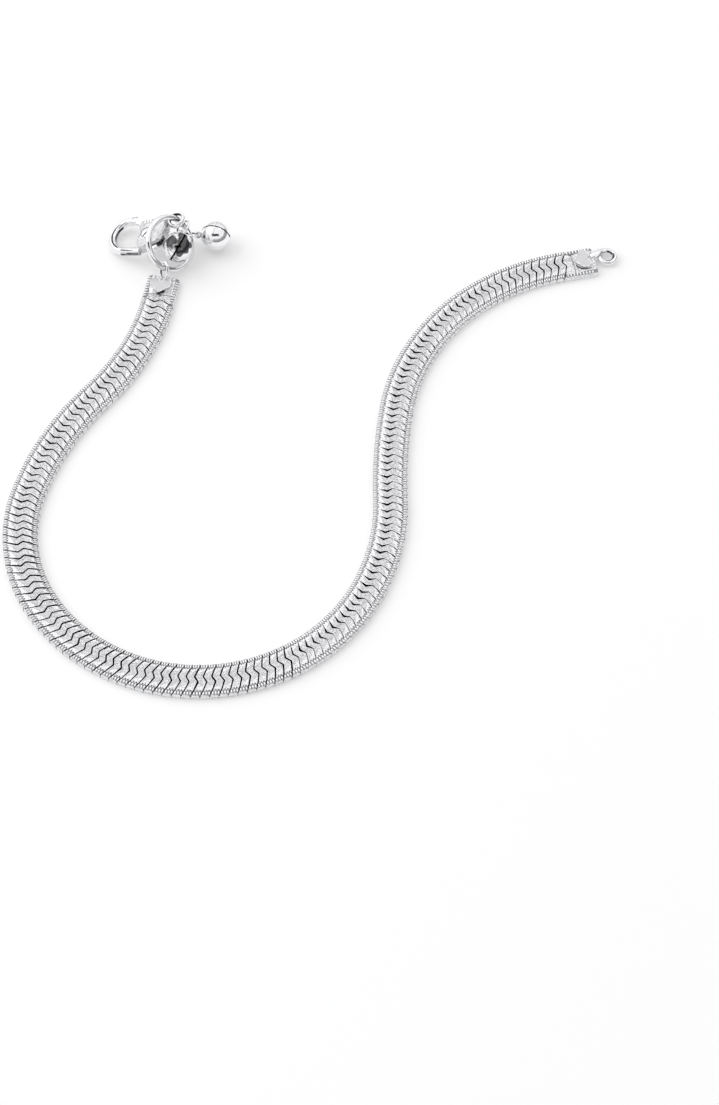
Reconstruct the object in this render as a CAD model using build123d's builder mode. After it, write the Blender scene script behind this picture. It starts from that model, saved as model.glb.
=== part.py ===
from build123d import *

import os
from math import cos, radians, sin

# Payal anklet: a flat woven band of silver plates between two heart end caps, with a
# jump ring, a lobster clasp and two small bells at one end and a soldered loop at the
# other. It lies flat on a table, top face up.
#
# Millimetres, +Z up, Z = 0 is the table. Every place on the band is given as a distance
# along its centre line, and as an offset across it.

os.makedirs("parts", exist_ok=True)

# ---- band --------------------------------------------------------------------
PLATE_COUNT = 155
PLATE_PITCH = 1.543
PLATE_GAP = 0.15  # slit between two plates, along the band
BAND_WIDTH = 6.5
BAND_THICK = 1.5
BEVEL_ACROSS = 0.95  # the long top edges slope down over this width
BEVEL_DROP = 0.4
CLASP_HALF_PLATES = 78

# Joint line between two plates: across the band, shift along the band.
JOINT_LINE = [
    (3.25, 0.90),
    (2.20, 0.35),
    (0.54, -0.36),
    (-0.54, 0.36),
    (-2.20, -0.35),
    (-3.25, -0.90),
]

# Centre line from the clasp end to the tail end: length, turn in degrees.
ROUTE_START = (-31.514, 34.090)
ROUTE_HEADING = -100.87
ROUTE_ARCS = [
    (24.67, -29.46),
    (25.09, 24.98),
    (24.84, 46.18),
    (25.55, 42.35),
    (24.70, 42.83),
    (22.93, 38.72),
    (20.10, 26.90),
    (20.86, -10.48),
    (41.68, -58.02),
    (12.54, -16.23),
]

# ---- end caps ----------------------------------------------------------------
CAP_LENGTH = 6.15
CAP_CORNER = 0.7
HEART_LOBE = 1.3
HEART_SPREAD = 1.2
HEART_RAISE = 0.3
HEART_POINT = 1.95  # heart's blunt point, back from the plate beside it
HEART_LOBES = 4.35  # centre of its lobes, back from the same edge

# ---- rings, links and bells ----------------------------------------------------
RING_RADIUS = 5.1
RING_WIRE = 0.6
RING_CENTRE = Vector(-29.34, 45.86, 4.40)
RING_NORMAL = Vector(0.638, -0.380, 0.670).normalized()

BAIL_WIRE = 0.32
BAIL_HALF_WIDTH = 1.2
BAIL_LENGTH = 3.53
BAIL_FOOT = Vector(-30.43, 39.40, 1.20)
BAIL_RUN = Vector(0.0, 0.793, 0.609).normalized()
BAIL_NORMAL = Vector(0.798, 0.367, -0.478).normalized()

TAIL_LOOP_RADIUS = 1.5
TAIL_LOOP_WIRE = 0.5
TAIL_LOOP_REACH = 2.55  # from the cap's end to the centre of the loop
TAIL_LOOP_ACROSS = 0.5
TAIL_LOOP_BORE = 1.05  # the loop's inside is worn to a short straight wall
TONGUE_SIZE = (1.9, 1.7, 1.0)
TONGUE_ACROSS = 0.6
TONGUE_FLOOR = 0.35

BELL_RADIUS = 2.95
BELL_WALL = 0.45
BELL_SLIT = 0.42
BELL_SLIT_HALF_ANGLE = 72
BELL_CROSS_HALF_ANGLE = 36
BELL_HOLE = 0.42  # radius of the round ends of the slits
BELL_EYE_RADIUS = 0.55
BELL_EYE_WIRE = 0.22
PELLET_RADIUS = 0.8
LINK_WIRE = 0.22
# Bell: centre, mouth direction, run of its long slit, place of its link on the jump ring.
BELLS = {
    "a": (
        Vector(-27.71, 44.89, 4.50),
        Vector(0.012, -0.701, 0.708),
        Vector(-0.509, -0.689, -0.515),
        Vector(-26.77, 50.25, 4.60),
    ),
    "b": (
        Vector(-20.54, 48.89, 2.97),
        Vector(0.0, 0.0, 1.0),
        Vector(0.966, -0.259, 0.0),
        Vector(-25.81, 49.25, 2.96),
    ),
}

# ---- lobster clasp ---------------------------------------------------------------
# Drawn flat in its own plane: x from the claw to the eye, y across, z its thickness.
CLASP_ORIGIN = Vector(-40.83, 50.33, 0.86)
CLASP_AXIS = Vector(0.931, 0.018, 0.365).normalized()
CLASP_NORMAL = Vector(-0.365, -0.007, 0.931).normalized()
CLAW_WIRE = 0.8
CLAW_RADIUS = 3.65
CLAW_CENTRE = (3.6, -0.95)
CLAW_TURN = -17  # the claw is set askew of the line to the eye
CLAW_BAR = 3.6
CLAW_TIP = 0.75
TIP_CUT = (3.09, 1.82)  # the slanted meeting of the claw's tip and the lever
TIP_CUT_ANGLE = 24
TIP_GAP = 0.10
BODY_THICK = 2.4
BODY_OUTLINE = [
    (5.9, -5.3),
    (5.6, -3.6),
    (6.3, -1.6),
    (6.2, 0.4),
    (6.7, 1.25),
    (8.2, 1.05),
    (10.4, 0.75),
    (11.9, 0.6),
    (11.9, -1.5),
    (10.6, -4.6),
    (8.6, -5.25),
]
BODY_CORNER = 0.45
BODY_EDGE = 0.4
SLOT_THICK = 1.2
LEVER_THICK = 1.0
PIVOT = (7.9, -2.4)
PIVOT_BOSS = 1.35
RIVET_RADIUS = 0.6
RIVET_CLEAR = 0.05
RIVET_HEAD = 1.1
RIVET_HEAD_HEIGHT = 0.15
LEVER_WIDTH = 1.35
LEVER_PATH = [(7.9, -2.4), (7.2, 0.0), (6.3, 1.5), (5.3, 2.2)]
GATE_PATH = [(5.35, 2.15), (4.5, 2.5), (2.6, 2.6)]  # the part outside the body
GATE_THICK = 1.5
THUMB_PATH = [(7.9, -2.4), (8.6, -4.0), (9.0, -5.35)]
THUMB_KNOB = 0.7
# The slot is a fan round the pivot, on the gate's side and on the thumb's side.
SLOT_FANS = [(76, 165, 7.0), (-95, -18, 6.0)]
SLOT_BOSS = 1.55
EYE_CENTRE = (13.65, -0.1)
EYE_RADIUS = 1.85
EYE_HOLE = 1.15
EYE_THICK = 1.2


def on_route(along, across=0.0):
    """Point and heading of the band's centre line, a distance from the clasp end."""
    x, y = ROUTE_START
    heading = radians(ROUTE_HEADING)
    left = along
    for number, (length, turn) in enumerate(ROUTE_ARCS):
        last = number == len(ROUTE_ARCS) - 1
        run = left if last else min(left, length)
        bend = radians(turn) * run / length
        chord = run if abs(bend) < 1e-9 else run * sin(bend / 2) / (bend / 2)
        x += chord * cos(heading + bend / 2)
        y += chord * sin(heading + bend / 2)
        heading += bend
        left -= run
        if left <= 0:
            break
    return x - across * sin(heading), y + across * cos(heading), heading


def plane_on_route(along):
    """Plane whose x runs along the band there, and whose y runs to its left."""
    x, y, heading = on_route(along)
    return Plane(origin=(x, y, 0), x_dir=(cos(heading), sin(heading), 0), z_dir=(0, 0, 1))


def plate(index):
    """One plate: a flat bar with stepped ends and sloping long edges."""
    start = index * PLATE_PITCH + PLATE_GAP / 2
    end = (index + 1) * PLATE_PITCH - PLATE_GAP / 2
    outline = [on_route(end + shift, across)[:2] for across, shift in JOINT_LINE]
    outline += [on_route(start + shift, across)[:2] for across, shift in reversed(JOINT_LINE)]
    middle = Vector(*on_route((start + end) / 2)[:2])
    with BuildPart() as piece:
        with BuildSketch():
            with BuildLine():
                Polyline(*outline, close=True)
            make_face()
        extrude(amount=BAND_THICK)
        sides = piece.faces().filter_by(Axis.Z, reverse=True)
        for side in sides.sort_by(lambda face: (face.center() - middle).length)[-2:]:
            top_edge = side.edges().sort_by(Axis.Z)[-1]
            chamfer(top_edge, length=BEVEL_DROP, length2=BEVEL_ACROSS, reference=side)
    return piece.part


def on_ring(point):
    """The nearest point on the jump ring's centre circle."""
    offset = point - RING_CENTRE
    flat = offset - RING_NORMAL * offset.dot(RING_NORMAL)
    return RING_CENTRE + flat.normalized() * RING_RADIUS


def end_cap(along, outward):
    """Cap at one end of the band, with its raised heart. Outward is the way that
    the cap points along the band: -1 at the clasp end, +1 at the tail end."""
    base = plane_on_route(along)
    half = BAND_WIDTH / 2
    far = outward * CAP_LENGTH
    lobe = outward * HEART_LOBES
    tip = outward * HEART_POINT
    edge = [(shift, across) for across, shift in JOINT_LINE]
    with BuildPart() as cap:
        with BuildSketch(base):
            with BuildLine():
                Polyline(*edge, (far, -half), (far, half), close=True)
            make_face()
        extrude(amount=BAND_THICK)
        corners = cap.edges().filter_by(Axis.Z).sort_by(
            lambda line: outward * base.to_local_coords(line.center()).X
        )[-2:]
        fillet(corners, radius=CAP_CORNER)
        with BuildSketch(base.offset(BAND_THICK - 0.1)):
            with Locations((lobe, HEART_SPREAD), (lobe, -HEART_SPREAD)):
                Circle(HEART_LOBE)
            with BuildLine():
                Polyline(
                    (lobe, HEART_SPREAD + HEART_LOBE),
                    (tip + outward * 0.35, 0.55),
                    (tip, 0.0),
                    (tip + outward * 0.35, -0.55),
                    (lobe, -HEART_SPREAD - HEART_LOBE),
                    close=True,
                )
            make_face()
        extrude(amount=HEART_RAISE + 0.1)
        rim = cap.faces().sort_by(Axis.Z)[-1].edges()
        fillet(rim, radius=0.12)
    return cap.part


# ---- the band, in two halves that meet -----------------------------------------
plates = [plate(index) for index in range(PLATE_COUNT)]

with BuildPart() as band_clasp_half:
    add(plates[:CLASP_HALF_PLATES])
band_clasp_half.part.label = "band_clasp_half"
export_step(band_clasp_half.part, "parts/band_clasp_half.step")

with BuildPart() as band_tail_half:
    add(plates[CLASP_HALF_PLATES:])
band_tail_half.part.label = "band_tail_half"
export_step(band_tail_half.part, "parts/band_tail_half.step")

# ---- clasp-end cap with its bail ---------------------------------------------
bail_plane = Plane(
    origin=BAIL_FOOT + BAIL_RUN * (BAIL_LENGTH / 2), x_dir=BAIL_RUN, z_dir=BAIL_NORMAL
)
bail_half = BAIL_LENGTH / 2 - BAIL_HALF_WIDTH
clasp_cap_blank = end_cap(-PLATE_GAP / 2, -1)
with BuildPart() as clasp_end_cap:
    add(clasp_cap_blank)
    with BuildLine(bail_plane) as bail_line:
        Line((-bail_half, BAIL_HALF_WIDTH), (bail_half, BAIL_HALF_WIDTH))
        ThreePointArc(
            (bail_half, BAIL_HALF_WIDTH), (BAIL_LENGTH / 2, 0), (bail_half, -BAIL_HALF_WIDTH)
        )
        Line((bail_half, -BAIL_HALF_WIDTH), (-bail_half, -BAIL_HALF_WIDTH))
        ThreePointArc(
            (-bail_half, -BAIL_HALF_WIDTH), (-BAIL_LENGTH / 2, 0), (-bail_half, BAIL_HALF_WIDTH)
        )
    with BuildSketch(Plane(origin=bail_line.line @ 0, z_dir=bail_line.line % 0)):
        Circle(BAIL_WIRE)
    sweep(path=bail_line.line)
clasp_end_cap.part.label = "clasp_end_cap"
export_step(clasp_end_cap.part, "parts/clasp_end_cap.step")

# ---- tail-end cap with its tongue and soldered loop ----------------------------
band_end = PLATE_COUNT * PLATE_PITCH
tail_plane = plane_on_route(band_end + PLATE_GAP / 2)
tail_cap_blank = end_cap(band_end + PLATE_GAP / 2, 1)
loop_height = TAIL_LOOP_WIRE + TONGUE_FLOOR
loop_plane = tail_plane.shift_origin(
    tail_plane.from_local_coords((CAP_LENGTH + TAIL_LOOP_REACH, TAIL_LOOP_ACROSS, 0))
).offset(loop_height)
with BuildPart() as tail_end_cap:
    add(tail_cap_blank)
    with BuildSketch(tail_plane.offset(TONGUE_FLOOR)):
        with Locations((CAP_LENGTH + 0.5, TONGUE_ACROSS)):
            Rectangle(TONGUE_SIZE[0], TONGUE_SIZE[1])
    extrude(amount=TONGUE_SIZE[2])
    with Locations(loop_plane):
        Torus(TAIL_LOOP_RADIUS, TAIL_LOOP_WIRE)
        Cylinder(TAIL_LOOP_BORE, 2 * TAIL_LOOP_WIRE, mode=Mode.SUBTRACT)
tail_end_cap.part.label = "tail_end_cap"
export_step(tail_end_cap.part, "parts/tail_end_cap.step")

# ---- jump ring -----------------------------------------------------------------
with BuildPart() as jump_ring:
    with Locations(Plane(origin=RING_CENTRE, z_dir=RING_NORMAL)):
        Torus(RING_RADIUS, RING_WIRE)
jump_ring.part.label = "jump_ring"
export_step(jump_ring.part, "parts/jump_ring.step")

# ---- bells: hollow shell with a crossed slit, a soldered eye, a pellet, a link --
for name, (centre, mouth, run, hook) in BELLS.items():
    mouth = mouth.normalized()
    hook = on_ring(hook)
    reach = (hook - centre).length
    out = (hook - centre).normalized()
    wire_run = RING_NORMAL.cross(hook - RING_CENTRE).normalized()
    link_normal = (wire_run - out * wire_run.dot(out)).normalized()
    eye_normal = link_normal.cross(out).normalized()
    run = (run - mouth * run.dot(mouth)).normalized()
    slit_plane = Plane(origin=centre, x_dir=mouth, z_dir=mouth.cross(run))
    cross_plane = Plane(origin=centre, x_dir=mouth, z_dir=run)
    eye_plane = Plane(
        origin=centre + out * (BELL_RADIUS + BELL_EYE_RADIUS - 0.1), x_dir=out, z_dir=eye_normal
    )
    pole = (slit_plane.z_dir + cross_plane.z_dir).normalized()
    seam = mouth * cos(radians(125)) + pole.cross(mouth) * sin(radians(125))
    ball_plane = Plane(origin=centre, x_dir=seam, z_dir=pole)
    with BuildPart() as bell:
        with Locations(ball_plane):
            Sphere(BELL_RADIUS)
        with Locations(eye_plane):
            Torus(BELL_EYE_RADIUS, BELL_EYE_WIRE)
        with Locations(ball_plane):
            Sphere(BELL_RADIUS - BELL_WALL, mode=Mode.SUBTRACT)
        for plane, half_angle in (
            (slit_plane, BELL_SLIT_HALF_ANGLE),
            (cross_plane, BELL_CROSS_HALF_ANGLE),
        ):
            far = BELL_RADIUS + 1
            rise = far * sin(radians(half_angle))
            deep = far * cos(radians(half_angle))
            with BuildSketch(plane.offset(-BELL_SLIT / 2)):
                with BuildLine():
                    Polyline(
                        (0, 0),
                        (deep, rise),
                        (far + 1, rise),
                        (far + 1, -rise),
                        (deep, -rise),
                        close=True,
                    )
                make_face()
            extrude(amount=BELL_SLIT, mode=Mode.SUBTRACT)
            for angle in (radians(-half_angle), radians(half_angle)):
                ray = plane.x_dir * cos(angle) + plane.y_dir * sin(angle)
                with BuildSketch(Plane(origin=centre + ray * 1.5, z_dir=ray)):
                    Circle(BELL_HOLE)
                extrude(amount=BELL_RADIUS, mode=Mode.SUBTRACT)
    bell.part.label = "bell_" + name
    export_step(bell.part, "parts/bell_" + name + ".step")

    with BuildPart() as pellet:
        with Locations(centre - Vector(0, 0, BELL_RADIUS - BELL_WALL - PELLET_RADIUS - 0.05)):
            Sphere(PELLET_RADIUS)
    pellet.part.label = "pellet_" + name
    export_step(pellet.part, "parts/pellet_" + name + ".step")

    link_near = BELL_RADIUS + BELL_EYE_RADIUS - 0.1
    link_far = reach + RING_WIRE + LINK_WIRE + 0.15
    link_plane = Plane(
        origin=centre + out * ((link_near + link_far) / 2), x_dir=out, z_dir=link_normal
    )
    with BuildPart() as link:
        with Locations(link_plane):
            Torus((link_far - link_near) / 2, LINK_WIRE)
    link.part.label = "bell_link_" + name
    export_step(link.part, "parts/bell_link_" + name + ".step")

# ---- lobster clasp ----------------------------------------------------------------
clasp_plane = Plane(origin=CLASP_ORIGIN, x_dir=CLASP_AXIS, z_dir=CLASP_NORMAL)
pivot_plane = clasp_plane.shift_origin(clasp_plane.from_local_coords((*PIVOT, 0)))


def claw_point(along, across):
    """A point given along and across the claw's own middle line."""
    turn = radians(CLAW_TURN)
    return (
        CLAW_CENTRE[0] + along * cos(turn) - across * sin(turn),
        CLAW_CENTRE[1] + along * sin(turn) + across * cos(turn),
    )


def tip_side(below, gap):
    """Outline of one side of the slanted meeting at the claw's tip."""
    slope = radians(TIP_CUT_ANGLE)
    shift = gap if below else -gap
    x = TIP_CUT[0] + shift * sin(slope)
    y = TIP_CUT[1] - shift * cos(slope)
    start = (x - 0.25 * cos(slope), y - 0.25 * sin(slope))
    end = (x + 4.0 * cos(slope), y + 4.0 * sin(slope))
    if below:
        return [start, end, (end[0], 0.8), (start[0], 0.8)]
    far = (x - 2.5 * cos(slope), y - 2.5 * sin(slope))
    return [far, end, (end[0], end[1] + 1), (far[0], end[1] + 1)]


with BuildPart() as body_slab:
    with BuildSketch(clasp_plane) as slab:
        with BuildLine():
            Polyline(*BODY_OUTLINE, close=True)
        make_face()
        fillet(slab.vertices(), radius=BODY_CORNER)
    extrude(amount=BODY_THICK / 2, both=True)
    flats = body_slab.faces().filter_by(
        lambda face: abs(abs(clasp_plane.to_local_coords(face.center()).Z) - BODY_THICK / 2) < 1e-4
    )
    chamfer(flats.edges(), length=BODY_EDGE)

# The claw's round wire, the body's slab and the eye are one casting.
with BuildPart() as clasp_body:
    with BuildLine(clasp_plane) as claw_line:
        Line(claw_point(CLAW_BAR, -CLAW_RADIUS), claw_point(0, -CLAW_RADIUS))
        ThreePointArc(
            claw_point(0, -CLAW_RADIUS), claw_point(-CLAW_RADIUS, 0), claw_point(0, CLAW_RADIUS)
        )
        Line(claw_point(0, CLAW_RADIUS), claw_point(CLAW_TIP, CLAW_RADIUS))
    with BuildSketch(Plane(origin=claw_line.line @ 0, z_dir=claw_line.line % 0)):
        Circle(CLAW_WIRE)
    sweep(path=claw_line.line)
    with BuildSketch(clasp_plane):
        with BuildLine():
            Polyline(*tip_side(True, -TIP_GAP / 2), close=True)
        make_face()
    extrude(amount=CLAW_WIRE + 0.5, both=True, mode=Mode.SUBTRACT)
    add(body_slab.part)
    with BuildSketch(clasp_plane) as eye_disc:
        with Locations(EYE_CENTRE):
            Circle(EYE_RADIUS)
    extrude(amount=EYE_THICK / 2, both=True)
    with BuildSketch(clasp_plane):
        with Locations(EYE_CENTRE):
            Circle(EYE_HOLE)
    extrude(amount=BODY_THICK, both=True, mode=Mode.SUBTRACT)
    for first, last, radius in SLOT_FANS:
        fan = [PIVOT]
        for step in range(4):
            angle = radians(first + (last - first) * step / 3)
            fan.append((PIVOT[0] + radius * cos(angle), PIVOT[1] + radius * sin(angle)))
        with BuildSketch(clasp_plane):
            with BuildLine():
                Polyline(*fan, close=True)
            make_face()
            with Locations(PIVOT):
                Circle(SLOT_BOSS)
        extrude(amount=SLOT_THICK / 2, both=True, mode=Mode.SUBTRACT)
    with BuildSketch(clasp_plane):
        with Locations(PIVOT):
            Circle(RIVET_RADIUS + 0.01)
    extrude(amount=BODY_THICK, both=True, mode=Mode.SUBTRACT)
clasp_body.part.label = "clasp_body"
export_step(clasp_body.part, "parts/clasp_body.step")

with BuildPart() as clasp_rivet:
    with BuildSketch(pivot_plane):
        Circle(RIVET_RADIUS)
    extrude(amount=BODY_THICK / 2 + RIVET_HEAD_HEIGHT, both=True)
    for side in (1, -1):
        with BuildSketch(pivot_plane.offset(side * BODY_THICK / 2)):
            Circle(RIVET_HEAD)
        extrude(amount=side * RIVET_HEAD_HEIGHT)
clasp_rivet.part.label = "clasp_rivet"
export_step(clasp_rivet.part, "parts/clasp_rivet.step")

# The lever turns on the rivet: its gate closes the claw, its knob is for the thumb.
with BuildPart() as clasp_lever:
    with BuildSketch(clasp_plane):
        for path in (LEVER_PATH, THUMB_PATH):
            with BuildLine():
                Polyline(*path)
            trace(line_width=LEVER_WIDTH)
        with Locations(PIVOT):
            Circle(PIVOT_BOSS)
        with Locations(THUMB_PATH[-1]):
            Circle(THUMB_KNOB)
    extrude(amount=LEVER_THICK / 2, both=True)
    with BuildSketch(clasp_plane):
        with BuildLine():
            Polyline(*GATE_PATH)
        trace(line_width=LEVER_WIDTH)
    extrude(amount=GATE_THICK / 2, both=True)
    with BuildSketch(clasp_plane):
        with BuildLine():
            Polyline(*tip_side(False, -TIP_GAP / 2), close=True)
        make_face()
    extrude(amount=BODY_THICK, both=True, mode=Mode.SUBTRACT)
    with BuildSketch(pivot_plane):
        Circle(RIVET_RADIUS + RIVET_CLEAR)
    extrude(amount=BODY_THICK, both=True, mode=Mode.SUBTRACT)
clasp_lever.part.label = "clasp_lever"
export_step(clasp_lever.part, "parts/clasp_lever.step")
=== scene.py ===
# %% [markdown]
# # A silver payal anklet
# A payal is an ankle chain. This one is a flat woven band of silver plates between
# two heart end caps. One end carries a jump ring with a lobster clasp and two small
# bells, the other a soldered loop. The anklet lies on a white table under soft studio
# light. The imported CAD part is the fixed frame: every piece below is made in metres,
# in the CAD's own place, and rides on one of its bodies.

# %% Load the frame
import math
import random

import bmesh
import bpy
import numpy as np
from mathutils import Matrix, Vector


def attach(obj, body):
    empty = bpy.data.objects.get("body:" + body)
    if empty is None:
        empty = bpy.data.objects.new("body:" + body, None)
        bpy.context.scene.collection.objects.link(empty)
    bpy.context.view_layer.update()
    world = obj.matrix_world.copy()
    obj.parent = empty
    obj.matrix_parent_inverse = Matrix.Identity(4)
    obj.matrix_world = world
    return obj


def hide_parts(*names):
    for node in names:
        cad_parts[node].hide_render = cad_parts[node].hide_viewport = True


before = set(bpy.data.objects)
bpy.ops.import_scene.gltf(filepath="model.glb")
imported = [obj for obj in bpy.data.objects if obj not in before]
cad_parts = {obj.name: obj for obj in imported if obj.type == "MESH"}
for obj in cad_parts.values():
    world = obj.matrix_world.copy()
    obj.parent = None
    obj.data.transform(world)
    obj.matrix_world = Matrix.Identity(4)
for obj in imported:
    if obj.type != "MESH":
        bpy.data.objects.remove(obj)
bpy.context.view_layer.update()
print("nodes", sorted(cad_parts))

# %% [markdown]
# ## Working habits
# Blender's edit tools merge and round at about a tenth of a millimetre, which is as
# large as the joints of this band. So each piece is made on the bench in millimetres,
# one Blender unit to the millimetre, and is brought down to metres when it is finished.
# An operator works on whatever is selected, so the helpers below deselect everything
# first and then take one object.

# %% Helpers for the bench
MM = 0.001
WELD = 0.001  # points that lie this close, in bench millimetres, are welded


def hold(obj):
    """Deselect everything, then select this object and make it the active one."""
    if bpy.context.object and bpy.context.object.mode == "EDIT":
        bpy.ops.object.mode_set(mode="OBJECT")
    bpy.ops.object.select_all(action="DESELECT")
    obj.select_set(True)
    bpy.context.view_layer.objects.active = obj
    return obj


def edit(obj, kind="FACE"):
    """Go into edit mode with nothing selected."""
    hold(obj)
    bpy.ops.object.mode_set(mode="EDIT")
    bpy.ops.mesh.select_mode(type=kind)
    bpy.ops.mesh.select_all(action="DESELECT")
    return bmesh.from_edit_mesh(obj.data)


def done(obj):
    """Back to object mode."""
    bpy.ops.object.mode_set(mode="OBJECT")
    return obj


def extrude(x=0.0, y=0.0, z=0.0):
    """Extrude what is selected in edit mode."""
    bpy.ops.mesh.extrude_region_move(TRANSFORM_OT_translate={"value": (x, y, z)})


def faces_out():
    """In edit mode, turn all the faces outwards."""
    bpy.ops.mesh.select_all(action="SELECT")
    bpy.ops.mesh.normals_make_consistent(inside=False)


def select_where(mesh, elements, test):
    """Select the vertices, edges or faces that pass a test, and say how many."""
    found = [e for e in elements if test(e)]
    for e in found:
        e.select_set(True)
    mesh.select_flush_mode()
    return len(found)


def apply_all(obj):
    """Apply every modifier of the piece, in order."""
    hold(obj)
    for modifier in list(obj.modifiers):
        bpy.ops.object.modifier_apply(modifier=modifier.name)
    return obj


def join(pieces, name):
    """Join finished pieces into one object."""
    hold(pieces[0])
    for piece in pieces:
        piece.select_set(True)
    bpy.ops.object.join()
    obj = bpy.context.object
    obj.name = name
    obj.data.name = name
    return obj


def flat_face(name, points, height):
    """A disc whose points are set on an outline, at a height."""
    bpy.ops.object.select_all(action="DESELECT")
    bpy.ops.mesh.primitive_circle_add(vertices=len(points), radius=1, fill_type="NGON")
    obj = bpy.context.object
    obj.name = name
    for vertex, (x, y) in zip(obj.data.vertices, points):
        vertex.co = (x, y, height)
    return obj


def copy_of(obj, place=(0, 0, 0)):
    """A copy with its own mesh, moved to a place."""
    twin = obj.copy()
    twin.data = obj.data.copy()
    bpy.context.scene.collection.objects.link(twin)
    twin.data.transform(Matrix.Translation(place))
    return twin


print("one millimetre of the bench is", MM, "metres of the finished piece")

# %% [markdown]
# ## The band's route
# The band isn't straight: it lies in easy bends, as a supple chain does. Its centre
# line is a chain of arcs, given as lengths and turns from the clasp end to the tail
# end. A piece of the band is made straight on the bench, with x along the band and y
# to its left, and then each of its points is carried to its place beside the route.

# %% The route as arcs
PLATE_COUNT = 155
PLATE_PITCH = 1.543
PLATE_GAP = 0.15
CLASP_HALF_PLATES = 78
BAND_LENGTH = PLATE_COUNT * PLATE_PITCH
ROUTE_START = (-31.514, 34.090)
ROUTE_HEADING = -100.87
ROUTE_ARCS = [
    (24.67, -29.46),
    (25.09, 24.98),
    (24.84, 46.18),
    (25.55, 42.35),
    (24.70, 42.83),
    (22.93, 38.72),
    (20.10, 26.90),
    (20.86, -10.48),
    (41.68, -58.02),
    (12.54, -16.23),
]


def on_route(along):
    """Point and heading of the centre line, a distance from the clasp end, in mm."""
    x, y = ROUTE_START
    heading = math.radians(ROUTE_HEADING)
    left = along
    for number, (length, turn) in enumerate(ROUTE_ARCS):
        last = number == len(ROUTE_ARCS) - 1
        run = left if last else min(left, length)
        bend = math.radians(turn) * run / length
        chord = run if abs(bend) < 1e-9 else run * math.sin(bend / 2) / (bend / 2)
        x += chord * math.cos(heading + bend / 2)
        y += chord * math.sin(heading + bend / 2)
        heading += bend
        left -= run
        if left <= 0:
            break
    return x, y, heading


def lay_along(obj):
    """Carry a straight piece from the bench to the route, and bring it to metres.
    What lies past either end of the band stays straight, as its caps are rigid."""
    for vertex in obj.data.vertices:
        along, across, up = vertex.co
        base = min(max(along, 0.0), BAND_LENGTH)
        x, y, heading = on_route(base)
        past = along - base
        x += past * math.cos(heading) - across * math.sin(heading)
        y += past * math.sin(heading) + across * math.cos(heading)
        vertex.co = Vector((x, y, up)) * MM
    obj.data.update()
    return obj


band_end = [round(v, 2) for v in on_route(BAND_LENGTH)]
print("band", round(BAND_LENGTH, 1), "mm, ends at", band_end)

# %% [markdown]
# ## Silver
# Polished silver is a mirror, so its look comes from what it reflects. It is never
# perfect: fine wiping scratches and small swells break the reflection. Both are given
# by noise on Object coordinates, one coarse and one fine, through a bump and through
# the roughness. Each finish is the same recipe with its own numbers. The first helper
# adds a node and fills its sockets, so that a recipe reads as a short list.

# %% Recipe for a silver finish
def add_node(tree, kind, inputs, **settings):
    """A new node. What is given for a socket is linked to it if it is another node's
    output, and is else set on it."""
    node = tree.nodes.new("ShaderNode" + kind)
    for name, value in settings.items():
        setattr(node, name, value)
    for socket, value in inputs.items():
        if isinstance(value, bpy.types.NodeSocket):
            tree.links.new(value, node.inputs[socket])
        else:
            node.inputs[socket].default_value = value
    return node


# sockets of a colour Mix node: the share, the two colours, and the mixed colour
SHARE, FIRST, SECOND, MIXED = 0, 6, 7, 2
# the part of the fine noise that is spread over the range of roughness
NOISE_LOW, NOISE_HIGH = 0.3, 0.7


def noise_at(tree, place, size, detail):
    """Noise that repeats size times in a metre."""
    inputs = {"Vector": place, "Scale": size, "Detail": detail}
    return add_node(tree, "TexNoise", inputs).outputs["Fac"]


def silver(name, colour, rough, swell, grain, grain_size, tone=0.06, swell_size=900.0):
    """A silver finish. rough is its lowest and highest roughness. swell and grain are
    the heights of the coarse and the fine bump in mm, grain_size and swell_size how
    many times each repeats in a metre, and tone how far the colour wanders."""
    material = bpy.data.materials.new(name)
    material.use_nodes = True
    tree = material.node_tree
    shader = tree.nodes["Principled BSDF"]
    shader.inputs["Metallic"].default_value = 1.0
    place = add_node(tree, "TexCoord", {}).outputs["Object"]
    coarse = noise_at(tree, place, swell_size, 3.0)
    fine = noise_at(tree, place, grain_size, 4.0)
    drift = {"Value": coarse, "To Min": 1.0 - tone, "To Max": 1.0 + tone}
    tones = add_node(tree, "MapRange", drift)
    tint = add_node(
        tree,
        "Mix",
        {SHARE: 1.0, FIRST: (*colour, 1.0), SECOND: tones.outputs["Result"]},
        data_type="RGBA",
        blend_type="MULTIPLY",
    )
    gloss = add_node(
        tree,
        "MapRange",
        {
            "Value": fine,
            "From Min": NOISE_LOW,
            "From Max": NOISE_HIGH,
            "To Min": rough[0],
            "To Max": rough[1],
        },
    )
    low = add_node(tree, "Bump", {"Strength": 1.0, "Distance": swell * MM, "Height": coarse})
    high = add_node(
        tree,
        "Bump",
        {"Strength": 1.0, "Distance": grain * MM, "Height": fine, "Normal": low.outputs["Normal"]},
    )
    tree.links.new(tint.outputs[MIXED], shader.inputs["Base Color"])
    tree.links.new(gloss.outputs["Result"], shader.inputs["Roughness"])
    tree.links.new(high.outputs["Normal"], shader.inputs["Normal"])
    return material


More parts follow.
